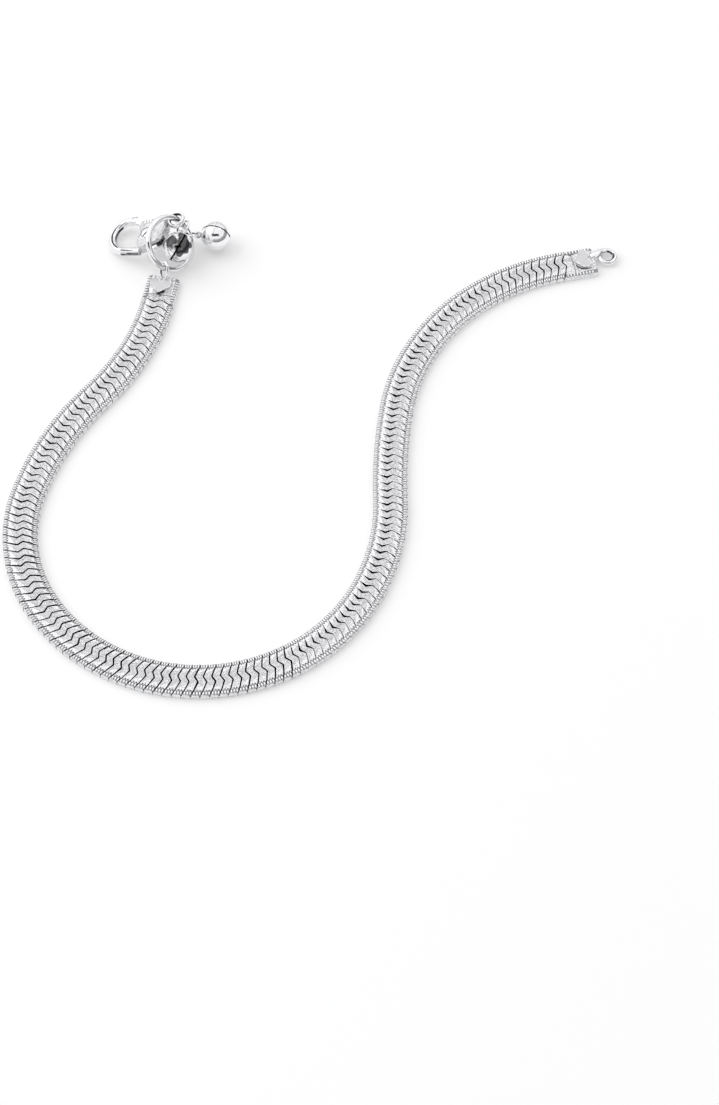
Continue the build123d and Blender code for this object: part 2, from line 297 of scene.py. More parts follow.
mirror_silver = silver("mirror_silver", (0.94, 0.94, 0.95), (0.06, 0.16), 0.02, 0.004, 6000.0)
bead_silver = silver("bead_silver", (0.98, 0.98, 0.985), (0.08, 0.18), 0.03, 0.010, 7000.0)
# painted shade: grey silver for the ground beside the beads and the floor of a cap's cross groove
painted_shade_grey = silver(
    "shaded_groove", (0.30, 0.30, 0.31), (0.30, 0.42), 0.05, 0.020, 5000.0, tone=0.15
)
# painted shade: near-black silver for the flanks in the joints, the core under them, the plates'
# undersides, the pits, the strips of painted shadow beside the hearts and the inside of the bells
painted_shade_black = silver("painted_shade_near_black", (0.02, 0.02, 0.021), (0.45, 0.65), 0.05, 0.020, 5000.0)
satin_silver = silver(
    "satin_heart_silver", (0.66, 0.66, 0.67), (0.34, 0.48), 0.05, 0.020, 5200.0, tone=0.08
)
cut_silver = silver(
    "bright_cut_silver", (0.90, 0.90, 0.91), (0.12, 0.26), 0.28, 0.040, 7000.0,
    tone=0.28, swell_size=2300.0,
)
woven_silver = silver(
    "woven_top_silver", (0.73, 0.73, 0.74), (0.13, 0.26), 0.34, 0.13, 4200.0,
    tone=0.36, swell_size=2400.0,
)
print("finishes", [m.name for m in bpy.data.materials if m.use_nodes])

# %% [markdown]
# ## Painted shade and reflections
# Dark is painted onto the silver: painted shade on the inner side of rings and links, round
# the collar and in the rivet's slot, and painted reflections as dark lines along the jump
# ring and the claw and as dark patches round the mouth of a bell. Each wire piece stores how
# dark it is painted at every point, and its finish reads that back. A stored value is used
# because the dark follows the piece's shape, which noise alone can't know.

# %% Painted shade and reflections, stored on a piece and read by its finish
PATCH_SIZE = 650.0
DARK_SPOT_SIZE = 900.0
DARK_EDGE = (0.80, 1.00)  # stored painted dark plus noise: where the dark starts, and where it is full
# the deepest and the palest tone of the painted dark
PAINTED_DARK_DEEP = (0.03, 0.03, 0.031, 1.0)
PAINTED_DARK_PALE = (0.17, 0.17, 0.175, 1.0)


def painted_dark(material):
    """Paint a silver finish dark where its piece's stored value is high, as painted shade and
    painted reflections. Noise breaks the edge of the dark, and cells give it lighter and
    darker spots."""
    tree = material.node_tree
    shader = tree.nodes["Principled BSDF"]
    bright = shader.inputs["Base Color"].links[0].from_socket
    painted_amount = add_node(tree, "Attribute", {}, attribute_name="painted_shade_and_reflection").outputs["Fac"]
    place = add_node(tree, "TexCoord", {}).outputs["Object"]
    patches = noise_at(tree, place, PATCH_SIZE, 3.0)
    cell_spots = add_node(tree, "TexVoronoi", {"Vector": place, "Scale": DARK_SPOT_SIZE}).outputs["Color"]
    level = add_node(tree, "Math", {0: painted_amount, 1: patches}, operation="ADD").outputs["Value"]
    start, full = DARK_EDGE
    edge = add_node(tree, "MapRange", {"Value": level, "From Min": start, "From Max": full})
    tones = add_node(tree, "ValToRGB", {"Fac": cell_spots})
    tones.color_ramp.elements[0].color = PAINTED_DARK_DEEP
    tones.color_ramp.elements[1].color = PAINTED_DARK_PALE
    mix = add_node(
        tree,
        "Mix",
        {SHARE: edge.outputs["Result"], FIRST: bright, SECOND: tones.outputs["Color"]},
        data_type="RGBA",
    )
    tree.links.new(mix.outputs[MIXED], shader.inputs["Base Color"])
    return material


def painted_shade_and_reflection(obj, amount):
    """Store the painted shade and reflection of each point, from its place and its normal."""
    painted_amount = obj.data.attributes.new("painted_shade_and_reflection", "FLOAT", "POINT")
    for vertex in obj.data.vertices:
        painted_amount.data[vertex.index].value = amount(vertex.co, vertex.normal)
    return obj


def near(value, middle, width):
    """1 at the middle, 0 beyond the width."""
    return max(0.0, 1.0 - abs(value - middle) / width)


wire_silver = painted_dark(silver("wire_silver", (0.91, 0.91, 0.92), (0.06, 0.16), 0.03, 0.004, 6000.0))
cast_silver = painted_dark(
    silver(
        "cast_silver", (0.68, 0.68, 0.69), (0.18, 0.34), 0.36, 0.040, 5200.0,
        tone=0.34, swell_size=900.0,
    )
)
print("aged finishes", wire_silver.name, cast_silver.name)

# %% [markdown]
# ## One plate of the band
# A plate is about as wide as a grain of rice and reaches right across the band. Its
# ends are S-shaped, so that each plate hooks beside the next, and both long edges of
# the band slope down. It starts as a grid of one column. Each row of points is slid
# along the band to the S-shaped joint line, and the outline is extruded up. Insets
# then raise the top: first a steep flank, painted near-black as the shade in the joint,
# then a narrow bright shoulder, and last the flat middle.

# %% Slide the rows of a grid to the joint line
HALF_WIDTH = 3.25
# the joint line: place across the band, shift along it
JOINT_LINE = [
    (-3.25, -0.88),
    (-2.20, -0.33),
    (-0.54, 0.32),
    (0.54, -0.32),
    (2.20, 0.33),
    (3.25, 0.88),
]
# Each row of points, as its place across the band at the plate's two ends. The
# slanted rows bound the middle facet.
ROWS = [
    (-3.25, -3.25),
    (-2.80, -2.80),
    (-2.32, -2.32),
    (-2.12, -2.12),
    (-1.80, -1.15),
    (-0.62, -0.56),
    (-0.42, -0.40),
    (0.40, 0.42),
    (0.56, 0.62),
    (1.15, 1.80),
    (2.12, 2.12),
    (2.32, 2.32),
    (2.80, 2.80),
    (3.25, 3.25),
]


def joint_shift(across):
    """How far the joint line lies along the band at a place across it."""
    sides = [a for a, _ in JOINT_LINE]
    shifts = [s for _, s in JOINT_LINE]
    return float(np.interp(across, sides, shifts))


def joint_grid(name, columns):
    """A grid whose rows follow the joint line. columns are functions of the place
    across the band, and give where each line of points lies along it."""
    last_row, last_column = len(ROWS) - 1, len(columns) - 1
    bpy.ops.object.select_all(action="DESELECT")
    bpy.ops.mesh.primitive_grid_add(x_subdivisions=last_column, y_subdivisions=last_row, size=2)
    obj = bpy.context.object
    obj.name = name
    mesh = edit(obj, "VERT")
    for vertex in mesh.verts:
        row = round((vertex.co.y + 1) / 2 * last_row)
        column = round((vertex.co.x + 1) / 2 * last_column)
        part = column / last_column
        across = ROWS[row][0] * (1 - part) + ROWS[row][1] * part
        vertex.co = (columns[column](across), across, 0.0)
    bmesh.update_edit_mesh(obj.data)
    done(obj)
    return obj


HALF_PLATE = (PLATE_PITCH - PLATE_GAP) / 2
plate_ends = [lambda a: joint_shift(a) - HALF_PLATE, lambda a: joint_shift(a) + HALF_PLATE]
master_plate = joint_grid("master_plate", plate_ends)
print("grid", len(master_plate.data.vertices), "points")

# %% Raise the outline to a plate with a flank and a shoulder
WALL_HEIGHT = 1.12
FLANK = (0.05, 0.36)  # width, rise
SHOULDER = (0.06, 0.02)


def raise_top(obj, walls, steps):
    """Extrude the outline up, and inset its top in steps of (width, rise)."""
    edit(obj)
    bpy.ops.mesh.select_all(action="SELECT")
    extrude(z=walls)
    for width, rise in steps:
        bpy.ops.mesh.inset(thickness=width, depth=0, use_boundary=True, use_even_offset=True)
        bpy.ops.transform.translate(value=(0, 0, rise))
    faces_out()
    done(obj)
    return obj


raise_top(master_plate, WALL_HEIGHT, [FLANK, SHOULDER])
print("raised to", round(master_plate.dimensions.z, 2), "mm")

# %% [markdown]
# The middle of a plate is flat. A slanted crease on each side leads to a facet that
# falls away, and past it the top steps down to a groove and slopes on to the edge,
# where the beads stand. The heights come from one function, which the caps and the
# beads use too, so that all of them meet.

# %% Let the sides of the top fall away
CREASE = 1.15  # where the facet starts at the plate's near end, and how far it slants
CREASE_SLANT = 0.65
FACET_FALL, FACET_WIDTH = 0.17, 0.9
STEP_START, STEP_END = 2.12, 2.32
STEP_FALL = 0.09
EDGE_FALL = 0.20
TOP_FROM = 0.1  # points higher than this belong to the top


def top_drop(along, across):
    """How far the top lies below its highest at a place on the plate."""
    part = 0.5 + (along - joint_shift(across)) / (2 * HALF_PLATE)
    part = min(max(part, 0.0), 1.0)
    crease = CREASE + CREASE_SLANT * (part if across > 0 else 1 - part)
    outward = abs(across)
    drop = FACET_FALL * max(0.0, min(outward, STEP_START) - crease) / FACET_WIDTH
    if outward > STEP_START:
        drop += STEP_FALL * min(1.0, (outward - STEP_START) / (STEP_END - STEP_START))
    if outward > STEP_END:
        drop += EDGE_FALL * (outward - STEP_END) / (HALF_WIDTH - STEP_END)
    return drop


for vertex in master_plate.data.vertices:
    if vertex.co.z > TOP_FROM:
        vertex.co.z -= top_drop(vertex.co.x, vertex.co.y)
print("edge lies", round(top_drop(0, HALF_WIDTH), 2), "mm below the middle")

# %% Give each face of the plate its finish
BAND_FINISHES = (painted_shade_black, cut_silver, woven_silver, painted_shade_grey)
DARK, BRIGHT, WOVEN, SHADED = range(4)
GROOVE_SIDE = (2.32, 3.0)  # the ground beside the beads, painted grey as shade: its place across the band
FLAT = 0.988  # a face that looks up more than this is part of the woven middle
WOVEN_SIDE = 1.9
OUTER_SIDE = 3.2


def finish_plate(obj):
    """Flanks in the joints painted near-black as shade, a bright shoulder and outer side, a
    woven top, and painted grey shade on the ground beside the beads. Faces that look down
    are painted near-black as shade too."""
    for finish in BAND_FINISHES:
        obj.data.materials.append(finish)
    for face in obj.data.polygons:
        outward = abs(face.center.y)
        if abs(face.normal.z) > 0.55:
            face.material_index = WOVEN if face.normal.z > FLAT and outward < WOVEN_SIDE else BRIGHT
            if GROOVE_SIDE[0] < outward < GROOVE_SIDE[1]:
                face.material_index = SHADED
            if face.normal.z < 0:
                face.material_index = DARK
        else:
            face.material_index = BRIGHT if outward > OUTER_SIDE else DARK
    return obj


finish_plate(master_plate)
plate_size = [round(v, 3) for v in master_plate.dimensions]
print("plate", len(master_plate.data.polygons), "faces", plate_size)

# %% [markdown]
# ## Beads along the edges
# Both long edges of the band carry a row of small grains, three to a plate, which
# stand on the sloping edge. A grain is a coarse ball drawn out across the band, with
# its lower half cut away. Just inside the groove lie two small pits, where the plate is
# pierced; each is a near-black disc laid on the top, a painted shade in place of a hole.

# %% One bead, and its places on a plate
BEAD_COUNT = 3
BEAD_STEP = 0.32  # of the plate's pitch
BEAD_ACROSS = 2.72
BEAD_HEIGHT = 1.12
BEAD_SIZE = (0.185, 0.44, 0.26)
PIT_RADIUS = 0.12
PIT_ACROSS = 2.20
PIT_STEPS = (-0.15, 0.15)  # of the plate's pitch
PIT_HEIGHT = 1.53

bpy.ops.object.select_all(action="DESELECT")
bpy.ops.mesh.primitive_uv_sphere_add(segments=8, ring_count=6, radius=1.0, scale=BEAD_SIZE)
master_bead = bpy.context.object
master_bead.name = "master_bead"
mesh = edit(master_bead)
select_where(mesh, mesh.faces, lambda face: face.calc_center_median().z < -0.01)
bpy.ops.mesh.delete(type="FACE")
done(master_bead)
master_bead.data.materials.append(bead_silver)
for face in master_bead.data.polygons:
    face.use_smooth = True
print("bead", len(master_bead.data.polygons), "faces")

# %% Set the beads and pits on the plate
def pit_at(along, across):
    """A small near-black disc of painted shade just above the top of the plate, where a hole would
    be.
    """
    height = PIT_HEIGHT - top_drop(along, across)
    bpy.ops.object.select_all(action="DESELECT")
    bpy.ops.mesh.primitive_circle_add(
        vertices=6, radius=PIT_RADIUS, fill_type="NGON", location=(along, across, height)
    )
    pit = bpy.context.object
    bpy.ops.object.transform_apply(location=True, rotation=True, scale=True)
    pit.data.materials.append(painted_shade_black)
    return pit


def beaded(obj):
    """The plate with its beads and pits."""
    extras = []
    for side in (-1, 1):
        across = side * BEAD_ACROSS
        for number in range(BEAD_COUNT):
            step = (number - (BEAD_COUNT - 1) / 2) * BEAD_STEP * PLATE_PITCH
            extras.append(copy_of(master_bead, (joint_shift(across) + step, across, BEAD_HEIGHT)))
        across = side * PIT_ACROSS
        for step in PIT_STEPS:
            extras.append(pit_at(joint_shift(across) + step * PLATE_PITCH, across))
    return join([obj, *extras], "beaded_plate")


beaded_plate = beaded(master_plate)
print("beaded plate", len(beaded_plate.data.polygons), "faces")

# %% [markdown]
# ## The band
# The plates are copied along the straight bench, and each copy is worn a little: it
# leans and rolls by a degree or two, so that the light breaks on it in its own way, and
# its joints stand more or less open. Where the band bends, a joint gapes at one kink and
# closes at its sides. The plates sit on a core painted near-black, which shows only in the
# joints as their painted shade and makes each half one body. Each half is then laid
# along the route.

# %% Wear of a plate
# From the clasp end: up to where along the band in mm, what share of a plate's length
# its joints open by at the kink and at the sides, and where across the band the kink is.
JOINT_FIT = [
    (55, 0.12, -0.05, -0.4),
    (128, 0.07, 0.02, 0.0),
    (222, 0.17, -0.10, 0.5),
    (250, 0.07, -0.03, 0.0),
]
KINK_HALF_WIDTH = 0.65
KINK_NARROWING = 0.6  # a kink off the centre is narrower
KINK_FADE = 0.8
LEAN, ROLL = 2.2, 0.8  # degrees
PLATE_MIDDLE = 0.75  # a plate leans round this height, in mm
PLATE_SINK = 0.01


def open_joints(obj, middle):
    """Open or close the joints at a plate's two ends, by its place along the band."""
    kink, sides, centre = next(fit for end, *fit in JOINT_FIT if middle < end)
    half_width = KINK_HALF_WIDTH - KINK_NARROWING * abs(centre)
    for vertex in obj.data.vertices:
        off_kink = min(1.0, max(0.0, (abs(vertex.co.y - centre) - half_width) / KINK_FADE))
        opening = kink + (sides - kink) * off_kink
        vertex.co.x -= opening * (vertex.co.x - joint_shift(vertex.co.y))


def worn_plate(index, wear):
    """One plate in its place on the straight band."""
    middle = (index + 0.5) * PLATE_PITCH
    plate = copy_of(beaded_plate, (0, 0, -PLATE_MIDDLE))
    open_joints(plate, middle)
    lean = Matrix.Rotation(math.radians(wear.uniform(-LEAN, LEAN)), 4, "Y")
    roll = Matrix.Rotation(math.radians(wear.uniform(-ROLL, ROLL)), 4, "X")
    plate.data.transform(Matrix.Translation((middle, 0, PLATE_MIDDLE - PLATE_SINK)) @ roll @ lean)
    return plate


print("plates lean by up to", LEAN, "and roll by up to", ROLL, "degrees")

# %% The core, and the two halves of the band
CORE_WIDTH = 6.4
CORE_FLOOR = 0.12
CORE_HEIGHT = 0.62
CORE_STEPS = 2  # to a plate
CORE_BEND = 0.9  # how much of the joint line's shift the core follows
CORE_SIDE = 3.15  # faces further out than this are its bright sides


def band_core(first, last):
    """The core under the plates first to last, painted near-black as the shade in the joints."""
    bpy.ops.object.select_all(action="DESELECT")
    steps = CORE_STEPS * (last - first)
    bpy.ops.mesh.primitive_grid_add(x_subdivisions=steps, y_subdivisions=4, size=1)
    core = bpy.context.object
    start, end = first * PLATE_PITCH, last * PLATE_PITCH
    for vertex in core.data.vertices:
        across = vertex.co.y * CORE_WIDTH
        middle = start + (vertex.co.x + 0.5) * (end - start)
        vertex.co = (middle + joint_shift(across) * CORE_BEND, across, CORE_FLOOR)
    edit(core)
    bpy.ops.mesh.select_all(action="SELECT")
    extrude(z=CORE_HEIGHT)
    faces_out()
    done(core)
    # painted shade: the core is near-black where it shows in the joints, bright on its sides
    core.data.materials.append(painted_shade_black)
    core.data.materials.append(cut_silver)
    for face in core.data.polygons:
        face.material_index = 1 if abs(face.center.y) > CORE_SIDE else 0
    return core


def band_half(name, first, last):
    """Plates first to last on their core, laid along the route."""
    wear = random.Random(first + 5)
    plates = [worn_plate(index, wear) for index in range(first, last)]
    half = join([*plates, band_core(first, last)], name)
    lay_along(half)
    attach(half, "anklet")
    return half


clasp_half = band_half("woven_band_clasp_half", 0, CLASP_HALF_PLATES)
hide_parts("band_clasp_half")
tail_half = band_half("woven_band_tail_half", CLASP_HALF_PLATES, PLATE_COUNT)
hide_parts("band_tail_half")
bpy.data.objects.remove(beaded_plate)
print("band halves", len(clasp_half.data.polygons), len(tail_half.data.polygons), "faces")

# %% [markdown]
# ## End caps
# Each end of the band is closed by a stamped cap: a last link whose inner side follows
# the joint line, a cross groove, and a beaded plate with a raised heart. The heart's
# blunt point looks back along the band. The base is the same kind of grid as a plate,
# with more columns, and its outer corners are rounded before it is raised.

# %% Cap base
CAP_LENGTH = 6.15
CAP_CORNER = 0.7
CAP_LINE = 4.0  # one more row of points, out from the joint
GROOVE = (1.72, 1.90)  # cross groove, out from the joint
GROOVE_DEPTH = 0.35
GROOVE_REACH = 2.4  # half its length
CAP_WALLS = 1.14
CAP_STEPS = [(0.10, 0.26), (0.10, 0.08)]


def in_groove(outward, centre):
    """Whether a face's centre lies in the cap's cross groove."""
    return GROOVE[0] < outward * centre.x < GROOVE[1] and abs(centre.y) < GROOVE_REACH


def cap_base(name, outward):
    """The cap's plate on the bench. outward is -1 at the clasp end, +1 at the tail."""
    columns = [lambda a: joint_shift(a) + outward * PLATE_GAP / 2]
    columns += [lambda a, far=far: outward * far for far in (*GROOVE, CAP_LINE, CAP_LENGTH)]
    if outward < 0:
        columns.reverse()
    obj = joint_grid(name, columns)
    mesh = edit(obj, "VERT")
    select_where(
        mesh,
        mesh.verts,
        lambda v: abs(v.co.y) > OUTER_SIDE and abs(v.co.x) > CAP_LENGTH - 0.01,
    )
    bpy.ops.mesh.bevel(offset=CAP_CORNER, segments=4, affect="VERTICES")
    done(obj)
    raise_top(obj, CAP_WALLS, CAP_STEPS)
    for vertex in obj.data.vertices:
        if vertex.co.z > TOP_FROM:
            vertex.co.z -= top_drop(joint_shift(vertex.co.y), vertex.co.y)
    mesh = edit(obj)
    found = select_where(
        mesh,
        mesh.faces,
        lambda f: f.normal.z > 0.7 and in_groove(outward, f.calc_center_median()),
    )
    bpy.ops.transform.translate(value=(0, 0, -GROOVE_DEPTH))
    done(obj)
    for finish in BAND_FINISHES:
        obj.data.materials.append(finish)
    # painted shade: the ground beside the beads and the floor of the cross groove are grey
    for face in obj.data.polygons:
        across = abs(face.center.y)
        top = face.normal.z > 0.6
        face.material_index = SHADED if top and GROOVE_SIDE[0] < across < GROOVE_SIDE[1] else BRIGHT
        if top and in_groove(outward, face.center) and face.center.z < 1.3:
            face.material_index = SHADED
        elif top and face.normal.z > 0.97 and across < 2.3:
            face.material_index = WOVEN
    print(name, len(obj.data.polygons), "faces,", found, "in the groove")
    return obj


print("a cap is", CAP_LENGTH, "mm long, its groove at", GROOVE)

# %% [markdown]
# The heart starts as a flat disc whose points are set on the heart's outline: two round
# lobes and a blunt point. It is extruded up, and an inset then sinks the middle a
# little, which leaves the thin bright rim round a satin field. A narrow strip of the
# near-black finish is laid beside it as its painted shadow: round its point on one cap,
# and along one of its lobes on the other.

# %% Outlines of the heart and of its painted shadows
HEART_LOBE = 1.3
HEART_SPREAD = 1.2
HEART_POINT = 1.95
HEART_LOBES = 4.35
LOBE_END = 128  # degrees
LOBE_STEPS = 14
# painted shadow strips, as points (out from the joint, across): round the point, and along a lobe
POINT_SHADOW = [
    (1.88, -0.25),
    (2.02, 0.15),
    (2.42, 0.72),
    (2.70, 1.02),
    (2.64, 1.14),
    (2.30, 0.84),
    (1.86, 0.26),
    (1.76, -0.25),
]
LOBE_SHADOW = [(2.30, 1.04), (2.90, 1.80), (3.60, 2.20), (4.30, 2.30), (5.00, 2.18)]
LOBE_SHADOW += [(5.00, 2.25), (4.30, 2.40), (3.58, 2.30), (2.84, 1.90), (2.22, 1.14)]


def heart_outline():
    """Points of half the heart, from the notch round a lobe to the blunt point."""
    notch = -math.atan2(HEART_SPREAD, math.sqrt(HEART_LOBE**2 - HEART_SPREAD**2))
    side = math.radians(LOBE_END)
    points = []
    for step in range(LOBE_STEPS + 1):
        angle = notch + (side - notch) * step / LOBE_STEPS
        out = HEART_LOBES + HEART_LOBE * math.cos(angle)
        points.append((out, HEART_SPREAD + HEART_LOBE * math.sin(angle)))
    points += [(HEART_POINT + 0.55, 0.85), (HEART_POINT + 0.12, 0.38), (HEART_POINT, 0.0)]
    return points


print("half a heart", len(heart_outline()), "points")

# %% Heart with its painted shadow
HEART_FLOOR = 1.30
HEART_WALLS = 0.42
HEART_RIM_RISE = 0.08
HEART_FIELD_SINK = 0.07
SHADOW_STRIP_RISE = 0.16


def heart(outward, breadth, length, aside, seam_and_shadow_strip):
    """The raised heart of a cap. breadth and length scale the outline, aside shifts it
    across the band, and seam_and_shadow_strip is the near-black strip of painted shadow beside it."""
    half = [
        (HEART_POINT + length * (out - HEART_POINT), breadth * across)
        for out, across in heart_outline()
    ]
    ring = half + [(out, -across) for out, across in reversed(half[1:-1])]
    obj = flat_face("heart", [(outward * out, across) for out, across in ring], HEART_FLOOR)
    edit(obj)
    bpy.ops.mesh.select_all(action="SELECT")
    extrude(z=HEART_WALLS)
    bpy.ops.mesh.inset(thickness=0.08, depth=0)
    bpy.ops.transform.translate(value=(0, 0, HEART_RIM_RISE))
    bpy.ops.mesh.inset(thickness=0.10, depth=0)
    bpy.ops.mesh.inset(thickness=0.08, depth=0)
    bpy.ops.transform.translate(value=(0, 0, -HEART_FIELD_SINK))
    faces_out()
    done(obj)
    obj.data.materials.append(cut_silver)
    obj.data.materials.append(satin_silver)
    field = max(obj.data.polygons, key=lambda f: f.area if f.center.z > 1.6 else 0)
    field.material_index = 1
    seam_and_shadow_strip = [(outward * out, -outward * side) for out, side in seam_and_shadow_strip]
    # painted shadow: a near-black strip beside the heart
    shadow_strip = flat_face("seam_and_shadow_strip", seam_and_shadow_strip, HEART_FLOOR)
    edit(shadow_strip)
    bpy.ops.mesh.select_all(action="SELECT")
    extrude(z=SHADOW_STRIP_RISE)
    faces_out()
    done(shadow_strip)
    shadow_strip.data.materials.append(painted_shade_black)
    obj = join([obj, shadow_strip], "heart")
    obj.data.transform(Matrix.Translation((0, aside, 0)))
    return obj


print("the heart's rim stands", round(HEART_WALLS + HEART_RIM_RISE, 2), "mm above its floor")

# %% Beads round a cap
CAP_BEADS = 9
CAP_BEAD_STEP = 0.62
CAP_BEAD_STAGGER = 0.5  # one edge starts later than the other by twice this
CAP_BEAD_ROOM = 0.45  # left free at the outer end
END_BEAD_STEP = 0.66
END_BEAD_INSET = 0.42
END_BEAD_RISE = 0.16
end_bead = copy_of(master_bead)
end_bead.data.transform(Matrix.Rotation(math.radians(90), 4, "Z"))


def cap_beads(outward):
    """Beads along the cap's two edges and its outer end."""
    beads = []
    for side in (-1, 1):
        for number in range(CAP_BEADS):
            out = CAP_BEAD_STEP + number * CAP_BEAD_STEP + CAP_BEAD_STAGGER * side * outward
            if out < CAP_LENGTH - CAP_BEAD_ROOM:
                beads.append(copy_of(master_bead, (outward * out, side * BEAD_ACROSS, BEAD_HEIGHT)))
    end = outward * (CAP_LENGTH - END_BEAD_INSET)
    for number in range(-3, 4):
        place = (end, number * END_BEAD_STEP, BEAD_HEIGHT + END_BEAD_RISE)
        beads.append(copy_of(end_bead, place))
    return beads


print("end bead", len(end_bead.data.polygons), "faces")

# %% [markdown]
# ## Wires and rings
# The jump ring, the bail, the links and the loops are all drawn wire. A ring is made
# the way it is on the bench: a small circle, the wire's section, is spun round an
# axis. It is then set in its own plane in the CAD's frame. Before that, while the ring
# still lies flat, its painted dark is stored: dark lines, most of them on its inner side as
# painted shade, the others as painted reflections.

# %% Spin a ring and set it in place
def spun_ring(name, radius, wire, steps=64, sides=20):
    """A ring in the XY plane, round the origin, in mm."""
    bpy.ops.object.select_all(action="DESELECT")
    bpy.ops.mesh.primitive_circle_add(
        vertices=sides, radius=wire, location=(radius, 0, 0), rotation=(math.pi / 2, 0, 0)
    )
    obj = bpy.context.object
    obj.name = name
    bpy.ops.object.transform_apply(location=True, rotation=True, scale=True)
    edit(obj, "VERT")
    bpy.ops.mesh.select_all(action="SELECT")
    bpy.ops.mesh.spin(steps=steps, angle=2 * math.pi, center=(0, 0, 0), axis=(0, 0, 1))
    bpy.ops.mesh.select_all(action="SELECT")
    bpy.ops.mesh.remove_doubles(threshold=WELD)
    bpy.ops.mesh.normals_make_consistent(inside=False)
    done(obj)
    bpy.ops.object.shade_smooth()
    return obj


def ring_painted_lines(lines):
    """Painted dark lines on a ring, as painted shade and painted reflections: each is the arc it
    runs over, in degrees from the first to the last, how far outward its side looks (1 out,
    -1 in), and how broad it is."""
    def amount(place, normal):
        out = Vector((place.x, place.y, 0)).normalized()
        turn = math.degrees(math.atan2(place.y, place.x)) % 360
        looks_out = normal.dot(out)
        best = 0.0
        for first, last, side, width in lines:
            turn += 360 if turn + 360 <= last else 0
            if normal.z > -0.2 and first <= turn <= last:
                ends = min(1.0, (turn - first + 1) / 12, (last - turn + 1) / 12)
                best = max(best, near(looks_out, side, width) * ends)
        return best

    return amount


INSIDE = [(0, 360, -0.80, 0.65)]  # painted shade all the way round, on the side that looks in


def set_in_place(obj, origin, x_dir, normal):
    """Carry a piece from the bench to its own plane, and bring it to metres."""
    z = Vector(normal).normalized()
    x = Vector(x_dir) - z * Vector(x_dir).dot(z)
    x.normalize()
    y = z.cross(x)
    turn = Matrix((x, y, z)).transposed().to_4x4()
    obj.data.transform(Matrix.Scale(MM, 4) @ Matrix.Translation(Vector(origin)) @ turn)
    obj.data.update()
    return obj


def give(obj, finish, body="anklet"):
    """The piece's finish, body and material slot."""
    if not obj.data.materials:
        obj.data.materials.append(finish)
    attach(obj, body)
    return obj


print("inner side of a ring, as arc, side and breadth", INSIDE)

# %% Jump ring
RING_CENTRE = Vector((-29.34, 45.86, 4.40))
RING_NORMAL = Vector((0.638, -0.380, 0.670)).normalized()
RING_RADIUS = 5.1
RING_WIRE = 0.6
ring = spun_ring("jump_ring_wire", RING_RADIUS, RING_WIRE, steps=96)
# painted reflections: two dark lines on the wire, where it mirrors the dark parts of the studio
painted_shade_and_reflection(ring, ring_painted_lines([(340, 410, 0.0, 0.32), (258, 290, -0.31, 0.30)]))
set_in_place(ring, RING_CENTRE, (1, 0, 0), RING_NORMAL)
give(ring, wire_silver)
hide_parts("jump_ring")
print("jump ring", len(ring.data.polygons), "faces")

# %% [markdown]
# ## Caps, bail and tail loop
# On the clasp end a drawn-out ring, the bail, is soldered to the cap and hangs on the
# jump ring. On the tail end a thick wire leaves the cap, goes round into an eye and
# comes back. Both are soldered, so each is one piece with its cap. The bail is a spun
# ring, parted at its middle and drawn out to an oval.

# %% Bail: a ring drawn out to an oval
def drawn_out(obj, length):
    """Part a ring at its middle and draw the two halves apart."""
    for vertex in obj.data.vertices:
        if abs(vertex.co.x) > 1e-4:
            vertex.co.x += math.copysign(length / 2, vertex.co.x)
    return obj


BAIL_WIRE = 0.32
BAIL_HALF_WIDTH = 1.2
BAIL_LENGTH = 3.53
BAIL_FOOT = Vector((-30.43, 39.40, 1.20))
BAIL_RUN = Vector((0.0, 0.793, 0.609)).normalized()
BAIL_NORMAL = Vector((0.798, 0.367, -0.478)).normalized()
bail = spun_ring("bail", BAIL_HALF_WIDTH, BAIL_WIRE, steps=32, sides=16)
drawn_out(bail, BAIL_LENGTH - 2 * BAIL_HALF_WIDTH)
# painted shade on the bail's inner side
painted_shade_and_reflection(bail, ring_painted_lines(INSIDE))
bail.data.materials.append(wire_silver)
set_in_place(bail, BAIL_FOOT + BAIL_RUN * (BAIL_LENGTH / 2), BAIL_RUN, BAIL_NORMAL)
print("bail", len(bail.data.polygons), "faces")

# %% Clasp-end cap
clasp_heart = heart(-1, 0.84, 0.95, -0.30, POINT_SHADOW)
clasp_cap = join([cap_base("clasp_cap", -1), clasp_heart, *cap_beads(-1)], "clasp_cap_dressed")
lay_along(clasp_cap)
clasp_cap = join([clasp_cap, bail], "clasp_cap_dressed")
give(clasp_cap, cut_silver)
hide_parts("clasp_end_cap")
print("clasp-end cap", len(clasp_cap.data.polygons), "faces")

# %% [markdown]
# The tail loop is a spun ring, and the wire that feeds it is a curve: thick where it
# leaves the cap, and drawn down to the loop's own wire. A NURBS curve is used because
# each of its points has a radius of its own. It is turned into a mesh when it is done.

# %% Tail loop: a wire that leaves the cap, goes round and comes back
TAIL_LOOP_REACH = 2.55
TAIL_LOOP_ACROSS = 0.5
TAIL_LOOP_RADIUS = 1.5
TAIL_LOOP_WIRE = 0.5
TAIL_LOOP_HEIGHT = 0.85


